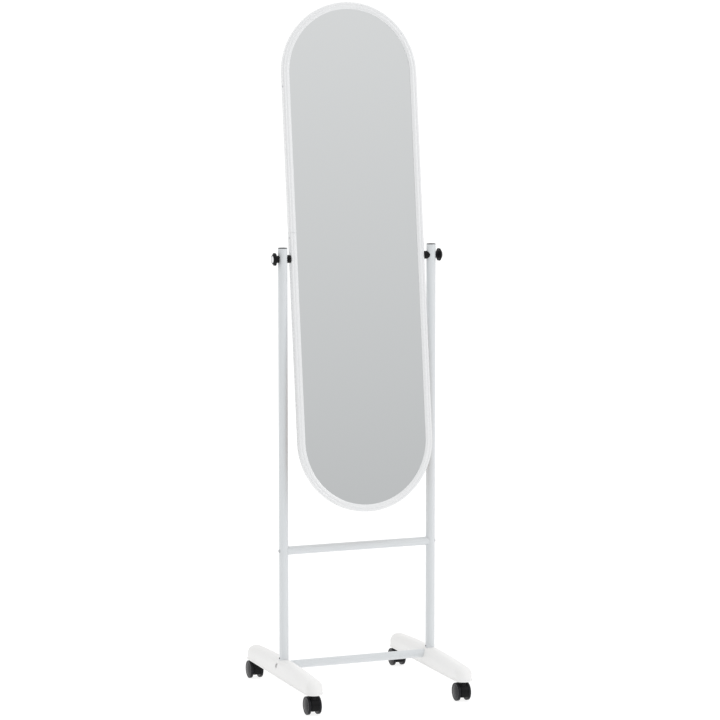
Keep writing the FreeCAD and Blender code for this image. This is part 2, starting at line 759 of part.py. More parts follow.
def knob(name, side):
    """Fluted clamp knob with a hub, a seat for the bolt's head and a recess for its cap."""
    body = new_body()
    section = new_sketch(body, "XY_Plane")
    head_bore = s.bolt_head_radius + s.seat_gap
    cap_seat = s.knob_end - s.knob_cap_depth
    rim_chamfer = 1.2
    dish = 1.5
    corners = [
        (s.hub_start, s.screw_radius),
        (s.hub_start, s.washer_radius),
        (s.flange_start, s.washer_radius),
        (s.flange_start + dish, s.washer_radius + 1),
        (s.flange_start + dish, s.knob_radius - dish),
        (s.flange_start, s.knob_radius - rim_chamfer),
        (s.flange_start + rim_chamfer, s.knob_radius),
        (s.flange_end - rim_chamfer, s.knob_radius),
        (s.flange_end, s.knob_radius - rim_chamfer),
        (s.knob_end, s.knob_face_radius),
        (s.knob_end, s.knob_cap_radius),
        (cap_seat, s.knob_cap_radius),
        (cap_seat, head_bore),
        (s.bolt_head_start, head_bore),
        (s.bolt_head_start, s.screw_radius),
    ]
    draw_outline(section, corners)
    revolve(body, section, "H_Axis")
    flute_sketch = new_sketch(body, "YZ_Plane")
    draw_circle(flute_sketch, 0, s.knob_radius + s.flute_radius - s.flute_depth, s.flute_radius)
    flute = pocket(body, flute_sketch, 3 * s.knob_end, symmetric=True)
    pattern = body.newObject("PartDesign::PolarPattern", "flutes")
    pattern.Originals = [flute]
    pattern.Axis = (flute_sketch, ["N_Axis"])
    pattern.Angle = 360
    bind(pattern, "Occurrences", s.flute_count)
    body.Tip = pattern
    keep(f"knob_{name}", at_knob(body, side))


def knob_bolt(name, side):
    """Bolt with its hexagon head in the knob, screwed into the mirror frame's insert."""
    shank = rod(s.screw_radius, s.bolt_reach + s.bolt_head_start, "x", -s.bolt_reach)
    head = doc.addObject("Part::Prism", "head")
    head.Polygon = 6
    bind(head, "Circumradius", s.bolt_head_radius)
    bind(head, "Height", s.bolt_head_height)
    place(head, s.bolt_head_start, 0, 0, AXIS_TURNS["x"])
    keep(f"knob_bolt_{name}", at_knob(joined(shank, head), side))


def knob_cap(name, side):
    """Pale disc with a rounded rim, inset in the knob's outer face."""
    body = new_body()
    face = new_sketch(body, "YZ_Plane", s.knob_end - s.knob_cap_depth)
    draw_circle(face, 0, 0, s.knob_cap_radius - s.seat_gap)
    pad(body, face, s.knob_cap_depth)
    outer = (s.knob_end - s.knob_cap_depth / 2).value
    round_edges(body, s.knob_cap_depth / 3, lambda edge: edge.BoundBox.XMin > outer)
    keep(f"knob_cap_{name}", at_knob(body, side))


# Casters: hood on a stem, with two wheels on one axle behind the stem.


def caster_hood(node, x, y):
    """Round hood between the wheels, with a boss about the stem."""
    body = new_body()
    disc = new_sketch(body, "YZ_Plane")
    draw_circle(disc, s.caster_trail, s.wheel_radius, s.hood_radius)
    pad(body, disc, 2 * s.hood_half_width, symmetric=True)
    round_edges(body, s.hood_edge, lambda edge: edge.BoundBox.XLength < 0.01)
    under = new_sketch(body, "YZ_Plane")
    reach = 2 * s.wheel_radius
    near, far = s.caster_trail - reach, s.caster_trail + reach
    draw_rectangle(under, near, far, s.wheel_radius - reach, s.hood_floor)
    pocket(body, under, reach, symmetric=True)
    boss = new_sketch(body, "XY_Plane", s.stem_low_end)
    draw_circle(boss, 0, 0, s.stem_boss_radius)
    pad(body, boss, s.foot_base - s.stem_gap - s.stem_low_end)
    stem_bore = new_sketch(body, "XY_Plane", s.stem_low_end)
    draw_circle(stem_bore, 0, 0, s.stem_radius)
    pocket(body, stem_bore, s.foot_base, backwards=True)
    axle_bore = new_sketch(body, "YZ_Plane")
    draw_circle(axle_bore, s.caster_trail, s.wheel_radius, s.axle_radius)
    pocket(body, axle_bore, reach, symmetric=True)
    keep(node, place(body, x, y))


def caster_wheel(node, x, y, way):
    """Wheel with a bevelled tread, a raised rim and a domed outer face; its bore is blind."""
    body = new_body()
    section = new_sketch(body, "XY_Plane")
    rim_step = 0.5
    bore = s.axle_radius + s.running_gap
    corners = [
        (s.wheel_inner, bore),
        (s.wheel_inner, s.wheel_radius - s.wheel_bevel),
        (s.wheel_inner + s.wheel_bevel, s.wheel_radius),
        (s.wheel_tread_end, s.wheel_radius),
        (s.wheel_rim_end, s.wheel_radius - s.wheel_bevel),
        (s.wheel_rim_end, s.dome_radius + rim_step),
        (s.wheel_rim_end - rim_step, s.dome_radius),
        (s.wheel_dome_end, bore),
    ]
    draw_outline(section, corners, {6: (s.dome_curve, 1)})
    revolve(body, section, "H_Axis")
    hub_face = new_sketch(body, "YZ_Plane", s.hub_depth)
    draw_circle(hub_face, 0, 0, bore + 1)
    pad(body, hub_face, s.wheel_dome_end - s.hub_depth)
    turn = FreeCAD.Rotation(FreeCAD.Vector(0, 0, 1), 0 if way > 0 else 180)
    keep(node, place(body, x, y, s.wheel_radius, turn))


def caster(place_name, side, end):
    x = side * side_x
    y = end * s.caster_reach
    axle_y = y + s.caster_trail
    caster_hood(f"caster_hood_{place_name}", x, y)
    stem = rod(s.stem_radius, s.stem_top - s.stem_low_end, "z", x, y, s.stem_low_end)
    keep(f"caster_stem_{place_name}", stem)
    axle = rod(s.axle_radius, 2 * s.axle_reach, "x", x - s.axle_reach, axle_y, s.wheel_radius)
    keep(f"caster_axle_{place_name}", axle)
    caster_wheel(f"wheel_{place_name}_outer", x, axle_y, side)
    caster_wheel(f"wheel_{place_name}_inner", x, axle_y, -side)


def build():
    mirror_frame()
    pane("mirror_glass", glass_front, s.glass_thickness)
    pane("backing_board", board_front, s.board_thickness)
    joint_sleeve()
    side_screws()
    backing_clips()
    middle_crossbar()
    lower_crossbar()
    middle_end = side_x - upright_radius - 1
    bar_inserts("middle_bar_inserts", middle_end, s.middle_bar_height)
    bar_inserts("lower_bar_inserts", lower_bar_end, s.lower_bar_height)
    bar_screws("middle_bar_screws", side_x + upright_radius, middle_end, s.middle_bar_height)
    foot_face = side_x + s.foot_width / 2
    bar_screws("lower_bar_screws", foot_face - s.recess_depth, lower_bar_end, s.lower_bar_height)
    lock_screws()
    caster_sockets()
    for name, side in SIDES.items():
        pivot_insert(name, side)
        upright(name, side)
        tube_cap(name, side)
        inner_spacer(name, side)
        foot(name, side)
        saddle_washer(name, side)
        knob(name, side)
        knob_bolt(name, side)
        knob_cap(name, side)
        for end_name, end in ENDS.items():
            caster(f"{end_name}_{name}", side, end)


def check_model():
    """Stop on a failed object, or a sub-part that is empty or not valid."""
    for thing in doc.Objects:
        if {"Invalid", "Error"} & set(thing.State):
            raise RuntimeError(f"{thing.Label} did not compute: {thing.State}")
    for node, piece in nodes.items():
        shape = piece.Shape
        if shape.isNull() or not shape.isValid() or not shape.Solids:
            raise RuntimeError(f"{node} has no valid solid")


def write_parts():
    os.makedirs("parts", exist_ok=True)
    for node, piece in nodes.items():
        piece.Shape.exportStep(f"parts/{node}.step")
        print(f"{node}: {len(piece.Shape.Solids)} solid(s), {piece.Shape.Volume / 1000:.2f} cm3")


build()
doc.recompute()
check_model()
write_parts()
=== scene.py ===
import json
import math

import bmesh
import bpy
from mathutils import Matrix, Vector


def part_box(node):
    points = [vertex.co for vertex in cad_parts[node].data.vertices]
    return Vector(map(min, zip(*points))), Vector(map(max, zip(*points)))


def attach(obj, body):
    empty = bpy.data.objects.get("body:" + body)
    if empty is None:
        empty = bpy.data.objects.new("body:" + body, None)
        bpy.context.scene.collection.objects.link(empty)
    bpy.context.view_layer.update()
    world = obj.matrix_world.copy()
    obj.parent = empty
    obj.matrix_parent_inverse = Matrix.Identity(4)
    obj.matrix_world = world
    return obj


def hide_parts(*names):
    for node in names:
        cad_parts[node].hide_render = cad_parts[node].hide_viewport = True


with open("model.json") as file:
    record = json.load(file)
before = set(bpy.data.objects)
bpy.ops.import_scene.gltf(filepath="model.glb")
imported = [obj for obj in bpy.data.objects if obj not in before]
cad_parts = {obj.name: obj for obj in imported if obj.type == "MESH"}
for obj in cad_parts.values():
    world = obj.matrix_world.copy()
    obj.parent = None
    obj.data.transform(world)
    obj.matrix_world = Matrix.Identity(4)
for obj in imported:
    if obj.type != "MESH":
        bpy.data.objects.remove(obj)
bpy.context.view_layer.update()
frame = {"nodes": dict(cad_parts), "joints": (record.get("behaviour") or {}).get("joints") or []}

mm = 0.001
nodes = frame["nodes"]
sides = {"left": -1, "right": 1}
casters = ("front_left", "front_right", "rear_left", "rear_right")


def report(stage):
    print("scene:", stage)


def middleOf(node):
    low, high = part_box(node)
    return (Vector(low) + Vector(high)) / 2


def lowOf(node):
    return Vector(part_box(node)[0])


def highOf(node):
    return Vector(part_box(node)[1])


def widthOf(node, axis):
    # size of a node's box along one axis, in mm
    return (highOf(node)[axis] - lowOf(node)[axis]) / mm


def rounded(corners, steps=5):
    # closed outline; corners are (u, v, radius) and each radius turns its corner into an arc
    line = []
    count = len(corners)
    for number, (u, v, radius) in enumerate(corners):
        here = Vector((u, v))
        if radius <= 0:
            line.append((u, v))
            continue
        before = Vector(corners[number - 1][:2]) - here
        after = Vector(corners[(number + 1) % count][:2]) - here
        reach = min(radius / math.tan(before.angle(after) / 2), before.length * 0.49, after.length * 0.49)
        start = here + before.normalized() * reach
        finish = here + after.normalized() * reach
        for step in range(steps + 1):
            t = step / steps
            spot = start * (1 - t) ** 2 + here * 2 * t * (1 - t) + finish * t**2
            line.append((spot.x, spot.y))
    return line


def ringMesh(rings, wrap=True):
    # rings hold equal numbers of points in mm; a ring of one point is a pole
    verts, faces, numbers = [], [], []
    for ring in rings:
        numbers.append(list(range(len(verts), len(verts) + len(ring))))
        verts += [(x * mm, y * mm, z * mm) for x, y, z in ring]
    for first, second in zip(numbers, numbers[1:] + (numbers[:1] if wrap else [])):
        count = max(len(first), len(second))
        if count == 1:
            continue
        for step in range(count):
            after = (step + 1) % count
            face = (first[step % len(first)], first[after % len(first)],
                    second[after % len(second)], second[step % len(second)])
            faces.append(tuple(dict.fromkeys(face)))
    return verts, faces


def lathe(profile, segments=64, warp=None):
    # profile is (reach, radius) in mm round the X axis; warp may change a point by its turn
    rings = []
    for reach, radius in profile:
        if radius < 1e-6:
            rings.append([(reach, 0, 0)])
            continue
        ring = []
        for step in range(segments):
            turn = 2 * math.pi * step / segments
            x, r = warp(reach, radius, turn) if warp else (reach, radius)
            ring.append((x, r * math.cos(turn), r * math.sin(turn)))
        rings.append(ring)
    return ringMesh(rings)


def placed(shape, direction, place):
    # turns the shape's X axis into the direction and moves it to its place
    verts, faces = shape
    turn = Vector((1, 0, 0)).rotation_difference(Vector(direction)).to_matrix().to_4x4()
    matrix = Matrix.Translation(place) @ turn
    return [tuple(matrix @ Vector(v)) for v in verts], faces


def tidyNormals(obj, crease=35):
    work = bmesh.new()
    work.from_mesh(obj.data)
    bmesh.ops.remove_doubles(work, verts=work.verts, dist=1e-7)
    bmesh.ops.recalc_face_normals(work, faces=work.faces)
    work.to_mesh(obj.data)
    work.free()
    obj.data.polygons.foreach_set("use_smooth", [True] * len(obj.data.polygons))
    obj.data.set_sharp_from_angle(angle=math.radians(crease))


def buildObject(name, shape, crease=35):
    mesh = bpy.data.meshes.new(name)
    mesh.from_pydata(shape[0], [], shape[1])
    mesh.validate()
    obj = bpy.data.objects.new(name, mesh)
    bpy.context.scene.collection.objects.link(obj)
    tidyNormals(obj, crease)
    return obj


def finishPiece(obj, material, body, replaced):
    obj.data.materials.clear()
    obj.data.materials.append(material)
    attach(obj, body)
    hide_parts(*replaced)


def appliedMesh(obj):
    # the evaluated object becomes a plain mesh and its modifiers go
    bpy.context.view_layer.update()
    graph = bpy.context.evaluated_depsgraph_get()
    mesh = bpy.data.meshes.new_from_object(obj.evaluated_get(graph))
    obj.modifiers.clear()
    old = obj.data
    obj.data = mesh
    bpy.data.meshes.remove(old)
    return obj


def booleanWith(obj, tools, operation="DIFFERENCE", crease=35):
    for tool in tools:
        step = obj.modifiers.new("boolean", "BOOLEAN")
        step.operation = operation
        step.solver = "EXACT"
        step.object = tool
    appliedMesh(obj)
    for tool in tools:
        bpy.data.objects.remove(tool)
    tidyNormals(obj, crease)


def boxShape(low, high):
    (x0, y0, z0), (x1, y1, z1) = low, high
    verts = [(x, y, z) for x in (x0, x1) for y in (y0, y1) for z in (z0, z1)]
    faces = [(0, 1, 3, 2), (4, 6, 7, 5), (0, 4, 5, 1), (2, 3, 7, 6), (0, 2, 6, 4), (1, 5, 7, 3)]
    return [tuple(c * mm for c in v) for v in verts], faces


def newMaterial(name, settings):
    material = bpy.data.materials.new(name)
    material.use_nodes = True
    shader = material.node_tree.nodes["Principled BSDF"]
    for socket, value in settings.items():
        shader.inputs[socket].default_value = value
    return material, material.node_tree, shader


def addNode(tree, kind, **inputs):
    node = tree.nodes.new(kind)
    for socket, value in inputs.items():
        target = node.inputs[socket.replace("_", " ")]
        if isinstance(value, bpy.types.NodeSocket):
            tree.links.new(value, target)
        else:
            target.default_value = value
    return node


def noiseOf(tree, coordinates, scale, detail=2.0, roughness=0.5):
    return addNode(tree, "ShaderNodeTexNoise", Vector=coordinates, Scale=scale, Detail=detail,
                   Roughness=roughness).outputs["Fac"]


def rampOf(tree, factor, low, high, fromMin=0.0, fromMax=1.0):
    node = addNode(tree, "ShaderNodeMapRange", Value=factor, From_Min=fromMin, From_Max=fromMax,
                   To_Min=low, To_Max=high)
    return node.outputs["Result"]


def mixOf(tree, factor, first, second):
    node = tree.nodes.new("ShaderNodeMix")
    node.data_type = "RGBA"
    for socket, value in ((node.inputs[0], factor), (node.inputs[6], first), (node.inputs[7], second)):
        if isinstance(value, bpy.types.NodeSocket):
            tree.links.new(value, socket)
        else:
            socket.default_value = value
    return node.outputs[2]


def bumpOf(tree, height, distance, strength=1.0):
    bump = addNode(tree, "ShaderNodeBump", Height=height, Distance=distance, Strength=strength)
    return bump.outputs["Normal"]


def objectCoordinates(tree):
    return tree.nodes.new("ShaderNodeTexCoord").outputs["Object"]


paintLook = {"base": (0.685, 0.708, 0.724, 1), "shade": (0.655, 0.678, 0.694, 1), "peelScale": 900,
             "peelDepth": 0.00003, "roughLow": 0.26, "roughHigh": 0.38, "cloudScale": 14, "speckScale": 320,
             "coat": {"Coat Weight": 0.12, "Coat Roughness": 0.15}}


def paintMaterial(name, look):
    material, tree, shader = newMaterial(name, look["coat"])
    place = objectCoordinates(tree)
    cloud = noiseOf(tree, place, look["cloudScale"], 3)
    peel = noiseOf(tree, place, look["peelScale"], 2)
    specks = noiseOf(tree, place, look["speckScale"], 4, 0.7)
    tree.links.new(mixOf(tree, cloud, look["base"], look["shade"]), shader.inputs["Base Color"])
    tree.links.new(rampOf(tree, specks, look["roughLow"], look["roughHigh"], 0.3, 0.7),
                   shader.inputs["Roughness"])
    tree.links.new(bumpOf(tree, peel, look["peelDepth"]), shader.inputs["Normal"])
    return material


footLook = {"base": (0.845, 0.842, 0.836, 1), "shade": (0.815, 0.812, 0.804, 1), "grainScale": 1500,
            "grainDepth": 0.00004, "roughLow": 0.42, "roughHigh": 0.55}


# shared by every plastic: size of the tone clouds and of the scuffs that vary the shine
plasticNoise = {"cloudScale": 22, "scuffScale": 180}


def plasticMaterial(name, look):
    material, tree, shader = newMaterial(name, {"Specular IOR Level": look.get("specular", 0.5)})
    place = objectCoordinates(tree)
    cloud = noiseOf(tree, place, plasticNoise["cloudScale"], 4, 0.6)
    grain = noiseOf(tree, place, look["grainScale"], 2, 0.6)
    scuffs = noiseOf(tree, place, plasticNoise["scuffScale"], 6, 0.75)
    tree.links.new(mixOf(tree, cloud, look["base"], look["shade"]), shader.inputs["Base Color"])
    tree.links.new(rampOf(tree, scuffs, look["roughLow"], look["roughHigh"], 0.35, 0.65),
                   shader.inputs["Roughness"])
    tree.links.new(bumpOf(tree, grain, look["grainDepth"]), shader.inputs["Normal"])
    return material


blackLook = {"base": (0.0035, 0.0035, 0.004, 1), "shade": (0.007, 0.007, 0.008, 1), "grainScale": 1800,
             "grainDepth": 0.00004, "roughLow": 0.26, "roughHigh": 0.38, "specular": 0.13}
capLook = {"base": (0.012, 0.012, 0.013, 1), "shade": (0.022, 0.022, 0.023, 1), "grainScale": 2200,
           "grainDepth": 0.00012, "roughLow": 0.80, "roughHigh": 0.95, "specular": 0.06}
wheelLook = {"base": (0.006, 0.006, 0.008, 1), "shade": (0.011, 0.011, 0.014, 1), "grainScale": 1400,
             "grainDepth": 0.00004, "roughLow": 0.24, "roughHigh": 0.36, "specular": 0.20}
socketLook = {"base": (0.30, 0.30, 0.31, 1), "shade": (0.26, 0.26, 0.27, 1), "grainScale": 1500,
              "grainDepth": 0.00003, "roughLow": 0.4, "roughHigh": 0.55}
# the knob caps are real pieces, but their white is a painted highlight: it stands in for the light that the
# knob's glossy outer face reflects
capPaintedHighlightLook = {"base": (0.84, 0.85, 0.86, 1), "shade": (0.80, 0.81, 0.83, 1), "grainScale": 1600,
             "grainDepth": 0.00001, "roughLow": 0.15, "roughHigh": 0.25}


steelLook = {"grainScale": 700, "grainDepth": 0.00002, "cloudScale": 90, "darker": 0.82}


def steelMaterial(name, colour, roughLow, roughHigh):
    material, tree, shader = newMaterial(name, {"Metallic": 1.0})
    place = objectCoordinates(tree)
    grain = noiseOf(tree, place, steelLook["grainScale"], 5, 0.7)
    cloud = noiseOf(tree, place, steelLook["cloudScale"], 3)
    darker = tuple(c * steelLook["darker"] for c in colour[:3]) + (1,)
    tree.links.new(mixOf(tree, cloud, colour, darker), shader.inputs["Base Color"])
    tree.links.new(rampOf(tree, grain, roughLow, roughHigh, 0.3, 0.7), shader.inputs["Roughness"])
    tree.links.new(bumpOf(tree, grain, steelLook["grainDepth"]), shader.inputs["Normal"])
    return material


silverLook = {"tone": (0.90, 0.915, 0.915, 1), "filmScale": 6, "roughLow": 0.004, "roughHigh": 0.03}


def silverMaterial():
    look = silverLook
    material, tree, shader = newMaterial("silveredGlass", {"Metallic": 1.0, "Base Color": look["tone"]})
    place = objectCoordinates(tree)
    film = noiseOf(tree, place, look["filmScale"], 5, 0.65)
    tree.links.new(rampOf(tree, film, look["roughLow"], look["roughHigh"], 0.45, 0.8),
                   shader.inputs["Roughness"])
    return material


boardLook = {"stretch": (1, 1, 0.35), "fibreScale": 420, "fibreDepth": 0.0002, "cloudScale": 9,
             "dark": (0.20, 0.115, 0.06, 1), "pale": (0.40, 0.265, 0.15, 1), "stain": (0.24, 0.15, 0.085, 1),
             "stainShare": 0.35, "roughLow": 0.62, "roughHigh": 0.85}


def boardMaterial():
    look = boardLook
    material, tree, shader = newMaterial("hardboardBack", {"Specular IOR Level": 0.3})
    place = objectCoordinates(tree)
    stretched = addNode(tree, "ShaderNodeMapping", Vector=place)
    stretched.inputs["Scale"].default_value = look["stretch"]
    fibres = noiseOf(tree, stretched.outputs["Vector"], look["fibreScale"], 8, 0.75)
    cloud = noiseOf(tree, place, look["cloudScale"], 5, 0.6)
    brown = mixOf(tree, fibres, look["dark"], look["pale"])
    stained = rampOf(tree, cloud, 0.0, look["stainShare"], 0.3, 0.7)
    tree.links.new(mixOf(tree, stained, brown, look["stain"]), shader.inputs["Base Color"])
    tree.links.new(rampOf(tree, fibres, look["roughLow"], look["roughHigh"]), shader.inputs["Roughness"])
    tree.links.new(bumpOf(tree, fibres, look["fibreDepth"]), shader.inputs["Normal"])
    return material


tubePaint = paintMaterial("tubePaint", paintLook)
rimPaint = paintMaterial("rimPaint", {**paintLook, "base": (0.79, 0.795, 0.80, 1),
                                      "shade": (0.765, 0.772, 0.78, 1), "roughLow": 0.22, "roughHigh": 0.32})
footPlastic = plasticMaterial("footPlastic", footLook)
blackPlastic = plasticMaterial("blackPlastic", blackLook)
capPlastic = plasticMaterial("capPlastic", capLook)
wheelPlastic = plasticMaterial("wheelPlastic", wheelLook)
socketPlastic = plasticMaterial("socketPlastic", socketLook)
# white cap plastic: painted highlight for the knob's outer face
capPaintedHighlight = plasticMaterial("capPaintedHighlight", capPaintedHighlightLook)
zincSteel = steelMaterial("zincSteel", (0.60, 0.61, 0.63, 1), 0.28, 0.42)
darkScrew = steelMaterial("darkScrew", (0.10, 0.10, 0.11, 1), 0.35, 0.5)
silveredGlass = silverMaterial()
hardboard = boardMaterial()

cadFinish = {"mirror_glass": silveredGlass, "backing_board": hardboard, "caster_sockets": socketPlastic}
for node in nodes:
    if node.startswith(("caster_stem", "caster_axle", "knob_bolt", "pivot_insert")) or node in (
            "backing_clips", "frame_joint_sleeve", "middle_bar_inserts", "lower_bar_inserts"):
        cadFinish[node] = zincSteel
    elif node.endswith("screws"):
        cadFinish[node] = darkScrew
    elif node.startswith("wheel"):
        cadFinish[node] = wheelPlastic
    elif node.startswith(("foot_left", "foot_right")):
        cadFinish[node] = footPlastic
    elif node.startswith(("upright", "middle_crossbar", "lower_crossbar")):
        cadFinish[node] = tubePaint
    elif node == "mirror_frame":
        cadFinish[node] = rimPaint
    elif node.startswith("knob_cap"):
        # painted highlight: the knob caps are white to stand in for the shine on the knob's face
        cadFinish[node] = capPaintedHighlight
    elif node not in cadFinish:
        cadFinish[node] = blackPlastic
for node, material in cadFinish.items():
    obj = nodes[node]
    if not obj.data.materials:
        obj.data.materials.append(material)
    for slotItem in obj.material_slots:
        slotItem.material = material
report("materials on the frame")


tiltJoint = [joint for joint in frame["joints"] if joint["name"] == "mirror_tilt"][0]
pivot = Vector(tiltJoint["pos_m"])
rimLook = {"width": 322, "height": 1145, "front": 5.5, "tilt": 6.8, "seamAt": 58, "seamGap": 0.4,
           "arcSteps": 96, "straightSteps": 6, "cornerSteps": 4, "crease": 32}
# section from the outer edge: u is inward, v is away from the front, then a corner's rounding in mm
rimSection = [(0, 15, 0.8), (0, 2.0, 0), (6.2, 0.9, 0), (12.8, 0.9, 0.4), (15.8, 2.3, 0.5),
              (15.8, 3.6, 0.4), (12, 3.6, 0), (12, 15, 0.8)]
rimBeads = {1: 4.3, 2: 6.5}  # corner that a bead starts at, and the bead's radius


def beadArc(first, last, radius, steps=9):
    # arc between two corners, bulging towards the front
    chord = last - first
    sag = math.sqrt(radius**2 - (chord.length / 2) ** 2)
    centre = (first + last) / 2 + Vector((-chord.y, chord.x)).normalized() * sag
    start = math.atan2(first.y - centre.y, first.x - centre.x)
    sweep = (math.atan2(last.y - centre.y, last.x - centre.x) - start) % (2 * math.pi)
    turns = [start + sweep * i / steps for i in range(1, steps)]
    return [(centre.x + radius * math.cos(turn), centre.y + radius * math.sin(turn)) for turn in turns]


def sectionLine():
    line = []
    count = len(rimSection)
    for number, corner in enumerate(rimSection):
        here, after = Vector(corner[:2]), Vector(rimSection[(number + 1) % count][:2])
        if corner[2]:
            before = Vector(rimSection[number - 1][:2])
            away, onward = (before - here).normalized(), (after - here).normalized()
            for step in range(rimLook["cornerSteps"] + 1):
                t = step / rimLook["cornerSteps"]
                spot = here + away * corner[2] * (1 - t) ** 2 + onward * corner[2] * t**2
                line.append((spot.x, spot.y))
        else:
            line.append(corner[:2])
        if number in rimBeads:
            line += beadArc(here, after, rimBeads[number])
    return line


def pathLine():
    # the rim's outer edge from just above the seam, over the top and back to just below it
    radius = rimLook["width"] / 2
    straight = (rimLook["height"] - rimLook["width"]) / 2
    above = rimLook["seamAt"] + rimLook["seamGap"] / 2
    below = rimLook["seamAt"] - rimLook["seamGap"] / 2
    steps, arc = rimLook["straightSteps"], rimLook["arcSteps"]
    turns = [math.pi * i / arc for i in range(arc + 1)]
    line = [(-radius, above + (straight - above) * i / steps) for i in range(steps)]
    line += [(-radius * math.cos(turn), straight + radius * math.sin(turn)) for turn in turns]
    line += [(radius, straight - 2 * straight * i / steps) for i in range(1, steps)]
    line += [(radius * math.cos(turn), -straight - radius * math.sin(turn)) for turn in turns]
    line += [(-radius, -straight + (straight + below) * i / steps) for i in range(1, steps + 1)]
    return line


def curveObject(name, points, cyclic):
    curve = bpy.data.curves.new(name, "CURVE")
    curve.dimensions = "3D"
    spline = curve.splines.new("POLY")
    spline.points.add(len(points) - 1)
    for point, place in zip(spline.points, points):
        point.co = (place[0] * mm, place[1] * mm, 0, 1)
    spline.use_cyclic_u = cyclic
    obj = bpy.data.objects.new(name, curve)
    bpy.context.scene.collection.objects.link(obj)
    return obj


def newTree(name, inputs):
    tree = bpy.data.node_groups.new(name, "GeometryNodeTree")
    keys = {label: tree.interface.new_socket(label, in_out="INPUT", socket_type=kind).identifier
            for label, kind in inputs.items()}
    tree.interface.new_socket("Geometry", in_out="OUTPUT", socket_type="NodeSocketGeometry")
    return tree, keys, tree.nodes.new("NodeGroupInput").outputs, tree.nodes.new("NodeGroupOutput").inputs


def closeTree(tree, geometry, finish, result):
    # every tree ends in real geometry with its material
    real = addNode(tree, "GeometryNodeRealizeInstances", Geometry=geometry)
    paint = addNode(tree, "GeometryNodeSetMaterial", Geometry=real.outputs["Geometry"], Material=finish)
    tree.links.new(paint.outputs["Geometry"], result["Geometry"])


def sweepTree():
    tree, keys, given, result = newTree("sweepSection", {
        "Path": "NodeSocketObject", "Section": "NodeSocketObject", "Stand Up": "NodeSocketRotation",
        "Finish": "NodeSocketMaterial"})
    path = addNode(tree, "GeometryNodeObjectInfo", Object=given["Path"])
    section = addNode(tree, "GeometryNodeObjectInfo", Object=given["Section"])
    level = addNode(tree, "GeometryNodeSetCurveNormal", Curve=path.outputs["Geometry"])
    level.mode = "Z_UP"
    sweep = addNode(tree, "GeometryNodeCurveToMesh", Curve=level.outputs["Curve"],
                    Profile_Curve=section.outputs["Geometry"], Fill_Caps=True)
    stand = addNode(tree, "GeometryNodeTransform", Geometry=sweep.outputs["Mesh"],
                    Rotation=given["Stand Up"])
    closeTree(tree, stand.outputs["Geometry"], given["Finish"], result)
    return tree, keys


def runTree(name, tree, keys, values):
    host = bpy.data.objects.new(name, bpy.data.meshes.new(name))
    bpy.context.scene.collection.objects.link(host)
    modifier = host.modifiers.new("nodes", "NODES")
    modifier.node_group = tree
    for label, value in values.items():
        modifier[keys[label]] = value
    return appliedMesh(host)


def makeRim():
    path = curveObject("rimPath", pathLine(), False)
    section = curveObject("rimSection", sectionLine(), True)
    tree, keys = sweepTree()
    rim = runTree("mirrorRim", tree, keys, {"Path": path, "Section": section, "Finish": rimPaint,
                                            "Stand Up": (math.radians(90), 0, 0)})
    lean = Matrix.Rotation(math.radians(-rimLook["tilt"]), 4, "X")
    rim.data.transform(Matrix.Translation(pivot) @ lean @ Matrix.Translation((0, -rimLook["front"] * mm, 0)))
    for helper in (path, section):
        bpy.data.objects.remove(helper)
    tidyNormals(rim, rimLook["crease"])
    finishPiece(rim, rimPaint, "mirror", ["mirror_frame"])


makeRim()
report("mirror rim")


tubeLook = {"wall": 1.2, "lip": 0.35, "segments": 72, "bands": 24}


def tubeProfile(start, finish, radius):
    # rows along the outside, then back along the inside
    wall, lip, bands = tubeLook["wall"], tubeLook["lip"], tubeLook["bands"]
    inside = radius - wall
    corners = [(start, inside, lip), (start, radius, lip)]
    corners += [(start + (finish - start) * i / bands, radius, 0) for i in range(1, bands)]
    corners += [(finish, radius, lip), (finish, inside, lip)]
    return rounded(corners, 3)


def makeUprights():
    for side in sides:
        node = "upright_" + side
        low, high = lowOf(node) / mm, highOf(node) / mm
        radius = (high.x - low.x) / 2
        shape = lathe(tubeProfile(low.z, high.z, radius), tubeLook["segments"])
        centre = middleOf(node)
        tube = buildObject("tube" + side.title(), placed(shape, (0, 0, 1), (centre.x, centre.y, 0)))
        finishPiece(tube, tubePaint, "stand", [node])


barLook = {"copeGap": 0.15, "bandCount": 16}


def cope(radius, turn, tubeAt, tubeRadius):
    # how far out a point of an end ring meets the round tube
    across = radius * math.cos(turn)
    return tubeAt - math.copysign(math.sqrt(tubeRadius**2 - across**2), tubeAt)


def makeMiddleBar():
    node = "middle_crossbar"
    radius = widthOf(node, 2) / 2
    inside = radius - tubeLook["wall"]
    tubeAt = middleOf("upright_right").x / mm
    tubeRadius = widthOf("upright_right", 0) / 2 + barLook["copeGap"]
    lip = tubeLook["lip"]
    bands = barLook["bandCount"]
    soft = lip / tubeAt  # share of the half length that the lip takes
    profile = [(-1, inside), (-1, radius - lip), (soft - 1, radius)]
    profile += [(-1 + 2 * i / bands, radius) for i in range(1, bands)]
    profile += [(1 - soft, radius), (1, radius - lip), (1, inside)]

    def stretch(share, ringRadius, turn):
        return share * cope(ringRadius, turn, tubeAt, tubeRadius), ringRadius

    shape = lathe(profile, tubeLook["segments"], stretch)
    bar = buildObject("middleBar", placed(shape, (1, 0, 0), (0, 0, middleOf(node).z)))
    finishPiece(bar, tubePaint, "stand", [node])


def makeLowerBar():
    node = "lower_crossbar"
    low, high = lowOf(node) / mm, highOf(node) / mm
    shape = lathe(tubeProfile(low.x, high.x, (high.z - low.z) / 2), tubeLook["segments"])
    bar = buildObject("lowerBar", placed(shape, (1, 0, 0), (0, 0, middleOf(node).z)))
    finishPiece(bar, tubePaint, "stand", [node])


makeUprights()
makeMiddleBar()
makeLowerBar()
report("tubes and crossbars")


capForm = {"rimHeight": 1.2, "edge": 0.8, "seatEdge": 0.15, "plugStep": 0.9, "plugDepth": 13.6,
           "plugEdge": 0.8, "ribs": 8, "ribDepth": 0.35, "ribsEnd": 0.5, "neck": 0.6, "segments": 96}


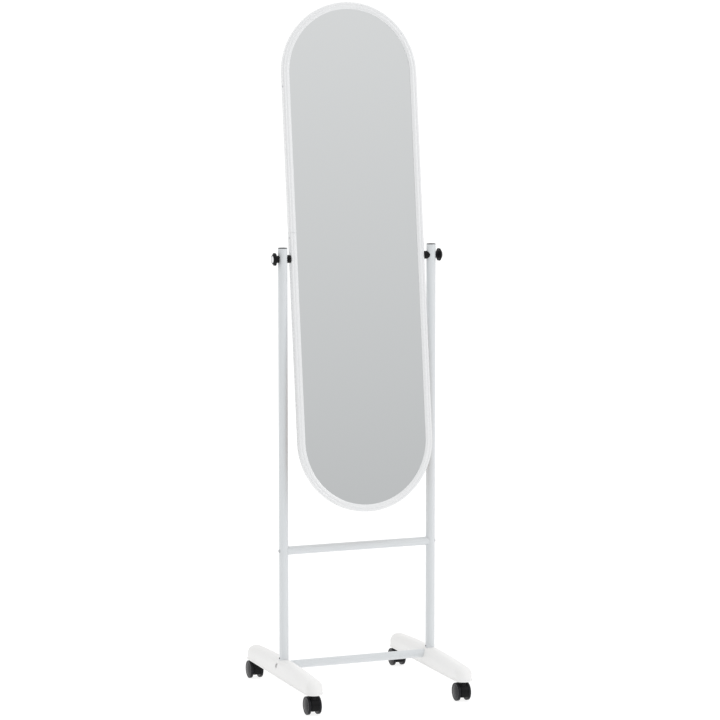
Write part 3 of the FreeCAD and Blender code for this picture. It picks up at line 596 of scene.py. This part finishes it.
def makeTubeCaps():
    for side in sides:
        node = "tube_cap_" + side
        centre, top, radius = middleOf(node), highOf(node).z / mm, widthOf(node, 0) / 2
        seat = top - capForm["rimHeight"]
        plug = radius - capForm["plugStep"]

        def ribbed(reach, ringRadius, turn):
            # the plug is ribbed to grip the tube
            if ringRadius > plug + 0.01 or reach > seat - capForm["ribsEnd"]:
                return reach, ringRadius
            depth = capForm["ribDepth"] * (0.5 + 0.5 * math.cos(turn * capForm["ribs"]))
            return reach, ringRadius - depth

        bottom = seat - capForm["plugDepth"]
        corners = [(bottom, 0, 0), (bottom, plug, capForm["plugEdge"]), (seat - capForm["neck"], plug, 0),
                   (seat, plug, 0), (seat, radius, capForm["seatEdge"]), (top, radius, capForm["edge"]),
                   (top, radius * 0.5, 0), (top, 0, 0)]
        shape = lathe(rounded(corners, 6), capForm["segments"], ribbed)
        cap = buildObject("tubeCap" + side.title(), placed(shape, (0, 0, 1), (centre.x, centre.y, 0)))
        finishPiece(cap, capPlastic, "stand", [node])


spacerLook = {"bore": 3.15, "edge": 0.7, "boreEdge": 0.3, "straight": 4, "onTube": 100, "segments": 96,
              "crease": 30}
washerLook = {"bore": 3.15, "edge": 0.8, "boreEdge": 0.3, "straight": 3, "onTube": -1, "wrap": 1.5,
              "copeGap": 0.1, "crease": 30}


def makeSpacersAndWashers():
    tubeRadius = widthOf("upright_right", 0) / 2 + washerLook["copeGap"]
    for side, way in sides.items():
        tube = middleOf("upright_" + side)
        tubeAt = abs(tube.x / mm)
        spacer = "inner_spacer_" + side
        flat = min(abs(lowOf(spacer).x), abs(highOf(spacer).x)) / mm
        radius = widthOf(spacer, 2) / 2
        bore, straight, onTube = spacerLook["bore"], spacerLook["straight"], spacerLook["onTube"]

        def toTube(reach, ringRadius, turn):
            # rows marked onTube end on the tube
            if reach < onTube:
                return flat + reach, ringRadius
            return tubeAt - math.sqrt(tubeRadius**2 - (ringRadius * math.cos(turn)) ** 2), ringRadius

        face = rounded([(0, bore, spacerLook["boreEdge"]), (0, radius, spacerLook["edge"]),
                        (straight, radius, 0), (straight, bore, 0)], 5)
        profile = [p for p in face if p[0] < straight - 0.1]
        profile += [(onTube, radius), (onTube, (radius + bore) / 2), (onTube, bore)]
        shape = lathe(profile, spacerLook["segments"], toTube)
        height = middleOf(spacer).z
        piece = buildObject("spacer" + side.title(), placed(shape, (way, 0, 0), (0, tube.y, height)),
                            spacerLook["crease"])
        finishPiece(piece, blackPlastic, "stand", [spacer])

        washer = "saddle_washer_" + side
        bore, straight, onTube = washerLook["bore"], washerLook["straight"], washerLook["onTube"]
        seat = max(abs(lowOf(washer).x), abs(highOf(washer).x)) / mm - tubeAt
        radius = widthOf(washer, 2) / 2

        def fromTube(reach, ringRadius, turn):
            # rows marked onTube wrap the tube's far side
            if reach > onTube:
                return reach, ringRadius
            across = ringRadius * math.cos(turn)
            near = tubeRadius - washerLook["copeGap"] - washerLook["wrap"]
            return max(near, math.sqrt(tubeRadius**2 - across**2)), ringRadius

        corners = [(seat - straight, bore, 0), (seat, bore, washerLook["boreEdge"]),
                   (seat, radius, washerLook["edge"]), (seat - straight, radius, 0)]
        profile = [p for p in rounded(corners, 5) if p[0] > seat - straight + 0.1]
        profile += [(onTube, radius), (onTube, (radius + bore) / 2), (onTube, bore)]
        shape = lathe(profile, spacerLook["segments"], fromTube)
        piece = buildObject("washer" + side.title(), placed(shape, (way, 0, 0), (tube.x, tube.y, height)),
                            washerLook["crease"])
        finishPiece(piece, blackPlastic, "washer_" + side, [washer])


makeTubeCaps()
makeSpacersAndWashers()
report("caps, spacers and washers")


# reaches are from the upright's axis outward
knobLook = {"hubStart": 12.7, "hubRadius": 8, "flangeStart": 17, "flangeEnd": 21.2, "end": 24.4,
            "flangeRadius": 14.6, "faceRadius": 9.2, "capRadius": 7.8, "capDepth": 1.4, "bore": 3.0,
            "headBore": 5.5, "headSeat": 18.2, "fluteCount": 8, "fluteCutter": 4, "fluteDepth": 1.7,
            "fluteSoftness": 1.2, "softFrom": 10, "segments": 256, "crease": 34}
knobCapLook = {"edge": 0.5, "seatEdge": 0.15, "crown": 0.12, "gap": 0.1, "segments": 96}


def fluted(reach, radius, turn):
    # keeps every ring inside the flutes that are cut round the rim
    step = 2 * math.pi / knobLook["fluteCount"]
    offset = (turn + step / 2) % step - step / 2
    centre = knobLook["flangeRadius"] + knobLook["fluteCutter"] - knobLook["fluteDepth"]
    across = centre * math.sin(offset)
    if abs(across) >= knobLook["fluteCutter"]:
        return reach, radius
    limit = centre * math.cos(offset) - math.sqrt(knobLook["fluteCutter"] ** 2 - across**2)
    soft = knobLook["fluteSoftness"]
    blend = max(soft - abs(radius - limit), 0) / soft
    dip = blend * blend * soft / 4 if radius > knobLook["softFrom"] else 0
    return reach, min(radius, limit) - dip


def knobShape():
    k = knobLook
    capSeat = k["end"] - k["capDepth"]
    corners = [
        (k["hubStart"], k["bore"], 0), (k["hubStart"], k["hubRadius"], 0.5),
        (k["flangeStart"], k["hubRadius"], 0.3), (k["flangeStart"] + 1.5, k["hubRadius"] + 1, 0.6),
        (k["flangeStart"] + 1.5, k["flangeRadius"] - 1.9, 0.6),
        (k["flangeStart"], k["flangeRadius"] - 1.5, 0.4), (k["flangeStart"] + 0.6, k["flangeRadius"], 1.0),
        (k["flangeEnd"] - 0.4, k["flangeRadius"], 1.2),
        (k["flangeEnd"] + 0.5, k["flangeRadius"] - 1.9, 0.6), (k["end"], k["faceRadius"], 0.7),
        (k["end"], k["capRadius"], 0.2), (capSeat, k["capRadius"], 0), (capSeat, k["headBore"], 0.2),
        (k["headSeat"], k["headBore"], 0), (k["headSeat"], k["bore"], 0),
    ]
    return lathe(rounded(corners, 5), k["segments"], fluted)


def knobCapShape():
    radius = knobLook["capRadius"] - knobCapLook["gap"]
    seat = knobLook["end"] - knobLook["capDepth"]
    corners = [(seat, 0, 0), (seat, radius, knobCapLook["seatEdge"]),
               (knobLook["end"], radius, knobCapLook["edge"]),
               (knobLook["end"] + knobCapLook["crown"], radius * 0.45, 0),
               (knobLook["end"] + knobCapLook["crown"], 0, 0)]
    return lathe(rounded(corners, 6), knobCapLook["segments"])


def makeKnobs():
    shape, capShape = knobShape(), knobCapShape()
    for side, way in sides.items():
        place = (middleOf("upright_" + side).x, 0, pivot.z)
        knob = buildObject("knob" + side.title(), placed(shape, (way, 0, 0), place), knobLook["crease"])
        finishPiece(knob, blackPlastic, "clamp_knob_" + side, ["knob_" + side])
        # the cap's white is a painted highlight on the knob's outer face
        cap = buildObject("knobCap" + side.title(), placed(capShape, (way, 0, 0), place))
        finishPiece(cap, capPaintedHighlight, "clamp_knob_" + side, ["knob_cap_" + side])


makeKnobs()
report("knobs")


footForm = {"base": lowOf("foot_left").z / mm, "crown": highOf("foot_left").z / mm, "halfLength": 210,
            "halfWidth": 20, "endHeight": 78, "edge": 18, "lipOut": 1, "lipHeight": 3.5, "lipEdge": 0.5,
            "lipSoft": 0.3, "stepInset": 0.1, "stepRise": 0.15, "wallRise": 0.6, "wallStart": 1,
            "underInsets": (20, 14, 8, 2), "sideShares": (0.35, 0.7), "topInsets": (19, 20),
            "arcSteps": 28, "straightSteps": 44, "edgeSteps": 14, "crease": 30}
footCuts = {"bayWide": 17, "bayNear": 32, "bayFar": 152, "roof": 72, "stemAt": 192, "stemRadius": 5.7,
            "stemTop": 69, "recessRadius": 6, "recessDepth": 5, "seatGap": 0.1, "overCut": 5,
            "tubeHoleTop": 100}


def footOutline(inset):
    # slot-shaped plan moved inward by the inset
    look = footForm
    radius = max(look["halfWidth"] - inset, 0)
    centre = look["halfLength"] - look["halfWidth"]
    arc, straight = look["arcSteps"], look["straightSteps"]
    turns = [math.pi * i / arc for i in range(arc + 1)]
    line = [(radius * math.cos(t), centre + radius * math.sin(t)) for t in turns]
    line += [(-radius, centre - 2 * centre * i / straight) for i in range(1, straight)]
    line += [(-radius * math.cos(t), -centre - radius * math.sin(t)) for t in turns]
    line += [(radius, -centre + 2 * centre * i / straight) for i in range(1, straight)]
    return line


def crownHeight(y):
    look = footForm
    drop = look["crown"] - look["endHeight"]
    bow = (look["halfLength"] ** 2 + drop**2) / (2 * drop)
    return look["crown"] - bow + math.sqrt(bow**2 - y**2)


def footShape():
    look = footForm
    base, lip, out, soft = look["base"], look["lipHeight"], look["lipOut"], look["lipEdge"]

    def level(inset, height):
        return [(x, y, height) for x, y in footOutline(inset)]

    rings = [level(inset, base) for inset in look["underInsets"]]
    bend, lipTop = soft * look["lipSoft"], base + lip
    rings += [level(soft - out, base), level(-out + bend, base + bend), level(-out, base + soft),
              level(-out, lipTop - soft), level(-out + bend, lipTop - bend), level(-out + soft, lipTop),
              level(-look["stepInset"], lipTop + look["stepRise"]), level(0, lipTop + look["wallRise"])]
    edge, steps = look["edge"], look["edgeSteps"]
    for share in look["sideShares"]:
        start = lipTop + look["wallStart"]
        rings.append([(x, y, start + share * (crownHeight(y) - edge - start)) for x, y in footOutline(0)])
    for step in range(steps + 1):
        turn = math.pi / 2 * step / steps
        inset = edge * (1 - math.cos(turn))
        rings.append([(x, y, crownHeight(y) - edge * (1 - math.sin(turn))) for x, y in footOutline(inset)])
    for inset in look["topInsets"]:
        rings.append([(x, y, crownHeight(y)) for x, y in footOutline(inset)])
    return ringMesh(rings, wrap=False)


def cutterRod(start, finish, radius, segments):
    # solid cylinder along X, used as a cutter
    return lathe([(start, 0), (start, radius), (finish, radius), (finish, 0)], segments)


def makeFeet():
    shape, cuts = footShape(), footCuts
    base, over = footForm["base"], cuts["overCut"]
    for side, way in sides.items():
        node = "foot_" + side
        centre = middleOf(node)
        at = Vector((centre.x, centre.y, 0))
        foot = buildObject("foot" + side.title(), placed(shape, (1, 0, 0), at))
        tools = []
        for end in (-1, 1):
            near, far = sorted((end * cuts["bayNear"], end * cuts["bayFar"]))
            wide = cuts["bayWide"]
            bay = boxShape((-wide, near, base - over), (wide, far, cuts["roof"]))
            tools.append(buildObject("bay", placed(bay, (1, 0, 0), at)))
            stem = cutterRod(base - over, cuts["stemTop"], cuts["stemRadius"], 48)
            stemPlace = at + Vector((0, end * cuts["stemAt"] * mm, 0))
            tools.append(buildObject("stemHole", placed(stem, (0, 0, 1), stemPlace)))
        tubeFloor = lowOf("upright_" + side).z / mm
        tubeRadius = widthOf("upright_" + side, 0) / 2 + cuts["seatGap"]
        tube = cutterRod(tubeFloor, cuts["tubeHoleTop"], tubeRadius, 72)
        tools.append(buildObject("tubeHole", placed(tube, (0, 0, 1), at)))
        reach = footForm["halfWidth"]
        bar = "lower_crossbar"
        barRadius = widthOf(bar, 2) / 2 + cuts["seatGap"]
        barSeat = reach - abs(abs(highOf(bar).x) - abs(centre.x)) / mm
        for direction, depth, radius in ((way, cuts["recessDepth"], cuts["recessRadius"]),
                                         (-way, barSeat, barRadius)):
            bore = cutterRod(reach - depth, reach + over, radius, 56)
            borePlace = at + Vector((0, 0, middleOf(bar).z))
            tools.append(buildObject("seat", placed(bore, (direction, 0, 0), borePlace)))
        booleanWith(foot, tools, crease=footForm["crease"])
        finishPiece(foot, footPlastic, "stand", [node])


makeFeet()
report("feet")


# reaches are across the caster from its middle, heights from the floor
hoodForm = {"halfWidth": 8.4, "edge": 1.4, "bossRadius": 5.7, "bossLow": 26, "bossEdge": 0.6, "segments": 128,
            "bossSegments": 64, "clearWide": 20, "clearLong": 40, "clearDeep": 20,
            "radius": widthOf("caster_hood_front_left", 1) / 2}
wheelForm = {"inner": 9, "treadEnd": 14.6, "rimEnd": 15.6, "domeEnd": 17.2, "bevel": 1.1, "domeRadius": 17,
             "domeCurve": 64, "rimStep": 0.5, "bore": 2.55, "hubDepth": 14.2, "segments": 128,
             "domeSteps": 14, "innerShare": 0.55, "treadOver": 0.5, "rimDrop": 1.8, "crease": 28,
             "radius": highOf("wheel_front_left_outer").z / mm / 2}


def hoodShape():
    k = hoodForm
    half, radius, edge = k["halfWidth"], k["radius"], k["edge"]
    corners = [(-half, 0, 0), (-half, radius, edge), (0, radius, 0), (half, radius, edge), (half, 0, 0)]
    return lathe(rounded(corners, 6), k["segments"])


def wheelShape():
    k = wheelForm
    bore, radius, bevel = k["bore"], k["radius"], k["bevel"]
    corners = [(k["hubDepth"], 0, 0), (k["hubDepth"], bore, 0), (k["inner"], bore, 0.3),
               (k["inner"], radius * k["innerShare"], 0), (k["inner"], radius, bevel * 1.2),
               (k["treadEnd"] + k["treadOver"], radius, bevel * 1.3),
               (k["rimEnd"], radius - k["rimDrop"], 0.5), (k["rimEnd"], k["domeRadius"] + k["rimStep"], 0.25),
               (k["rimEnd"] - k["rimStep"], k["domeRadius"], 0.12)]
    rows = rounded(corners + [(k["domeEnd"], 0, 0)], 5)[:-1]
    # domed face: an arc from its edge to the middle
    start, finish = Vector((k["rimEnd"] - k["rimStep"], k["domeRadius"])), Vector((k["domeEnd"], 0))
    for step in range(1, k["domeSteps"] + 1):
        share = step / k["domeSteps"]
        spot = start.lerp(finish, share)
        bulge = (finish - start).length ** 2 / (8 * k["domeCurve"]) * 4 * share * (1 - share)
        rows.append((spot.x + bulge, spot.y if step < k["domeSteps"] else 0))
    return lathe(rows, k["segments"])


def makeCasters():
    hood, wheel = hoodShape(), wheelShape()
    for name in casters:
        stem = middleOf("caster_stem_" + name)
        axle = middleOf("caster_axle_" + name)
        piece = buildObject("hood" + name.title().replace("_", ""), placed(hood, (1, 0, 0), axle))
        x, y = stem.x / mm, axle.y / mm
        floor = lowOf("caster_hood_" + name).z / mm  # the hood's flat underside
        wide, long, deep = hoodForm["clearWide"], hoodForm["clearLong"], hoodForm["clearDeep"]
        below = boxShape((x - wide, y - long, -deep), (x + wide, y + long, floor))
        booleanWith(piece, [buildObject("below", below)])
        top = highOf("caster_hood_" + name).z / mm
        boss = lathe(rounded([(hoodForm["bossLow"], 0, 0), (hoodForm["bossLow"], hoodForm["bossRadius"], 0),
                              (top, hoodForm["bossRadius"], hoodForm["bossEdge"]), (top, 0, 0)], 4),
                     hoodForm["bossSegments"])
        booleanWith(piece, [buildObject("boss", placed(boss, (0, 0, 1), (stem.x, stem.y, 0)))], "UNION")
        finishPiece(piece, blackPlastic, "caster_" + name, ["caster_hood_" + name])
        for which in ("outer", "inner"):
            node = "wheel_%s_%s" % (name, which)
            way = math.copysign(1, middleOf(node).x - axle.x)
            wheelPiece = buildObject("wheel" + (name + "_" + which).title().replace("_", ""),
                                     placed(wheel, (way, 0, 0), axle), wheelForm["crease"])
            finishPiece(wheelPiece, wheelPlastic, node, [node])


makeCasters()
report("casters")


# node that the screws replace: head radius, head height, shank radius and length in mm, body, slot
screwLooks = {
    "middle_bar_screws": {"head": 4.2, "height": 1.3, "shank": 3, "length": 48, "body": "stand",
                          "slot": "zinc_steel"},
    "lower_bar_screws": {"head": 4.2, "height": 1.3, "shank": 3, "length": 54.5, "body": "stand",
                         "slot": "dark_screws"},
    "foot_lock_screws": {"head": 1.7, "height": 1.2, "shank": 1.5, "length": 3.6, "body": "stand",
                         "slot": "dark_screws"},
    "frame_side_screws": {"head": 2.5, "height": 0.8, "shank": 1.5, "length": 7, "body": "mirror",
                          "slot": "zinc_steel"},
}


# the cross recess as shares of the head's radius and height, and the segments and crease angle of every screw
screwCommon = {"armShare": 0.62, "widthShare": 0.13, "depthShare": 0.6, "segments": 48, "crease": 30}


def screwShape(look):
    # pan head on a plain shank; the head's seat is at zero and the head points along +X
    head, height, shank, length = look["head"], look["height"], look["shank"], look["length"]
    corners = [(-length, 0, 0), (-length, shank, shank * 0.25), (0, shank, 0), (0, head, height * 0.15),
               (height * 0.55, head * 0.97, height * 0.3), (height, head * 0.55, height * 0.5),
               (height, 0, 0)]
    return lathe(rounded(corners, 4), screwCommon["segments"])


def crossRecess(look):
    arm, deep = look["head"] * screwCommon["armShare"], look["height"] * screwCommon["depthShare"]
    wide = look["head"] * screwCommon["widthShare"]
    top = look["height"]
    upright = boxShape((top - deep, -wide, -arm), (top + 1, wide, arm))
    level = boxShape((top - deep, -arm, -wide), (top + 1, arm, wide))
    return upright, level


def screwTree():
    tree, keys, given, result = newTree("screwRow", {
        "Places": "NodeSocketObject", "Screw": "NodeSocketObject", "Finish": "NodeSocketMaterial"})
    places = addNode(tree, "GeometryNodeObjectInfo", Object=given["Places"])
    screw = addNode(tree, "GeometryNodeObjectInfo", Object=given["Screw"])
    outward = tree.nodes.new("GeometryNodeInputNamedAttribute")
    outward.data_type = "FLOAT_VECTOR"
    outward.inputs["Name"].default_value = "outward"
    turn = tree.nodes.new("FunctionNodeAlignRotationToVector")
    turn.axis = "X"
    tree.links.new(outward.outputs["Attribute"], turn.inputs["Vector"])
    rows = addNode(tree, "GeometryNodeInstanceOnPoints", Points=places.outputs["Geometry"],
                   Instance=screw.outputs["Geometry"], Rotation=turn.outputs["Rotation"])
    closeTree(tree, rows.outputs["Instances"], given["Finish"], result)
    return tree, keys


def screwSeats(node, look):
    # the seat and outward direction of each head, read from the loose parts of the CAD node
    work = bmesh.new()
    work.from_mesh(nodes[node].data)
    bmesh.ops.remove_doubles(work, verts=work.verts, dist=1e-6)
    left, seats = set(work.verts), []
    while left:
        island, edge = set(), [left.pop()]
        while edge:
            vert = edge.pop()
            island.add(vert)
            for link in vert.link_edges:
                other = link.other_vert(vert)
                if other in left:
                    left.discard(other)
                    edge.append(other)
        spots = [nodes[node].matrix_world @ v.co for v in island]
        low, high = (min(s.x for s in spots), max(s.x for s in spots))
        ring = [s for s in spots if s.x > high - look["height"] * mm * 0.5]
        headRight = max(s.z for s in ring) - min(s.z for s in ring) > 2.2 * look["shank"] * mm
        way = 1 if headRight else -1
        outer = high if headRight else low
        ends = [s for s in spots if abs(s.x - outer) < 1e-5]
        middle = sum(ends, Vector()) / len(ends)
        seats.append(((outer - way * look["height"] * mm, middle.y, middle.z), (way, 0, 0)))
    work.free()
    return sorted(seats)


def makeScrews():
    tree, keys = screwTree()
    for node, look in screwLooks.items():
        screw = buildObject("screw", screwShape(look))
        recess = [buildObject("recess", shape) for shape in crossRecess(look)]
        booleanWith(screw, recess)
        seats = screwSeats(node, look)
        mesh = bpy.data.meshes.new("seats")
        mesh.from_pydata([place for place, way in seats], [], [])
        outward = mesh.attributes.new("outward", "FLOAT_VECTOR", "POINT")
        outward.data.foreach_set("vector", [c for place, way in seats for c in way])
        places = bpy.data.objects.new("seats", mesh)
        bpy.context.scene.collection.objects.link(places)
        finish = zincSteel if look["slot"] == "zinc_steel" else darkScrew
        name = "".join(word.title() for word in node.split("_"))
        piece = runTree(name[0].lower() + name[1:], tree, keys,
                        {"Places": places, "Screw": screw, "Finish": finish})
        for helper in (places, screw):
            bpy.data.objects.remove(helper)
        tidyNormals(piece, screwCommon["crease"])
        finishPiece(piece, finish, look["body"], [node])


makeScrews()
report("screws")


studio = {"floorHalf": 12.0, "wallAt": 6.5, "wallHeight": 9.0, "sweepRadius": 2.5, "sweepSteps": 24,
          "paper": (0.25, 0.25, 0.25, 1), "paperShade": (0.235, 0.235, 0.235, 1), "glow": 0.86}


def makeStage():
    # floor that sweeps up into a plain backdrop behind the object, softly lit from within
    line = [(-studio["floorHalf"], 0.0)]
    radius, steps = studio["sweepRadius"], studio["sweepSteps"]
    for step in range(steps + 1):
        turn = math.pi / 2 * step / steps
        line.append((studio["wallAt"] - radius + radius * math.sin(turn), radius - radius * math.cos(turn)))
    line.append((studio["wallAt"], studio["wallHeight"]))
    half = studio["floorHalf"]
    verts = [(x, y, z) for y, z in line for x in (-half, half)]
    faces = [(2 * i, 2 * i + 1, 2 * i + 3, 2 * i + 2) for i in range(len(line) - 1)]
    mesh = bpy.data.meshes.new("floorSweep")
    mesh.from_pydata(verts, [], faces)
    mesh.polygons.foreach_set("use_smooth", [True] * len(faces))
    floor = bpy.data.objects.new("floorSweep", mesh)
    bpy.context.scene.collection.objects.link(floor)
    material, tree, shader = newMaterial("floorPaper", {
        "Roughness": 0.9, "Specular IOR Level": 0.1, "Emission Color": (1, 1, 1, 1),
        "Emission Strength": studio["glow"]})
    tone = noiseOf(tree, objectCoordinates(tree), 40, 3)
    tree.links.new(mixOf(tree, tone, studio["paper"], studio["paperShade"]), shader.inputs["Base Color"])
    floor.data.materials.append(material)


lights = {
    "key": {"place": (4.4, -3.6, 3.0), "aim": (0, 0, 0.8), "size": 3.0, "power": 55},
    "top": {"place": (0.5, -0.5, 5.0), "aim": (0, 0, 0), "size": 2.5, "power": 16},
}


def makeLights():
    for name, look in lights.items():
        data = bpy.data.lights.new(name, "AREA")
        data.shape = "DISK"
        data.size = look["size"]
        data.energy = look["power"]
        lamp = bpy.data.objects.new(name, data)
        place = Vector(look["place"])
        lamp.location = place
        lamp.rotation_euler = (Vector(look["aim"]) - place).to_track_quat("-Z", "Y").to_euler()
        bpy.context.scene.collection.objects.link(lamp)


# height above the horizon: tone of the soft room there
worldTones = {0.0: (0.50, 0.505, 0.51, 1), 0.10: (0.61, 0.615, 0.62, 1), 0.26: (0.76, 0.762, 0.765, 1),
              0.75: (1.0, 1.0, 1.0, 1)}


def makeWorld():
    world = bpy.data.worlds.new("softRoom")
    world.use_nodes = True
    tree = world.node_tree
    back = tree.nodes["Background"]
    place = tree.nodes.new("ShaderNodeTexCoord").outputs["Generated"]
    split = addNode(tree, "ShaderNodeSeparateXYZ", Vector=place)
    ramp = tree.nodes.new("ShaderNodeValToRGB")
    tree.links.new(split.outputs["Z"], ramp.inputs["Fac"])
    stops = ramp.color_ramp.elements
    while len(stops) < len(worldTones):
        stops.new(0.5)
    for stop, (height, tone) in zip(stops, worldTones.items()):
        stop.position = height
        stop.color = tone
    tree.links.new(ramp.outputs["Color"], back.inputs["Color"])
    bpy.context.scene.world = world


cameraLook = {"place": (-2.27882, -5.80607, 1.48020), "azimuth": -21.478, "pitch": 6.598, "roll": -0.013,
              "focalLength": 139.14, "sensor": 36, "farEnd": 60}


def makeCamera():
    data = bpy.data.cameras.new("camera")
    data.sensor_width = cameraLook["sensor"]
    data.lens = cameraLook["focalLength"]
    data.clip_end = cameraLook["farEnd"]
    camera = bpy.data.objects.new("camera", data)
    swing = math.radians(cameraLook["azimuth"])
    pitch = math.radians(cameraLook["pitch"])
    ahead = Vector((-math.sin(swing) * math.cos(pitch), math.cos(swing) * math.cos(pitch), -math.sin(pitch)))
    right = Vector((math.cos(swing), math.sin(swing), 0))
    turn = Matrix((right, right.cross(ahead), -ahead)).transposed().to_4x4()
    roll = Matrix.Rotation(math.radians(cameraLook["roll"]), 4, "Z")
    camera.matrix_world = Matrix.Translation(cameraLook["place"]) @ turn @ roll
    bpy.context.scene.collection.objects.link(camera)
    bpy.context.scene.camera = camera


makeCamera()
makeStage()
makeLights()
makeWorld()
bpy.context.scene.view_settings.view_transform = "Standard"
report("studio")
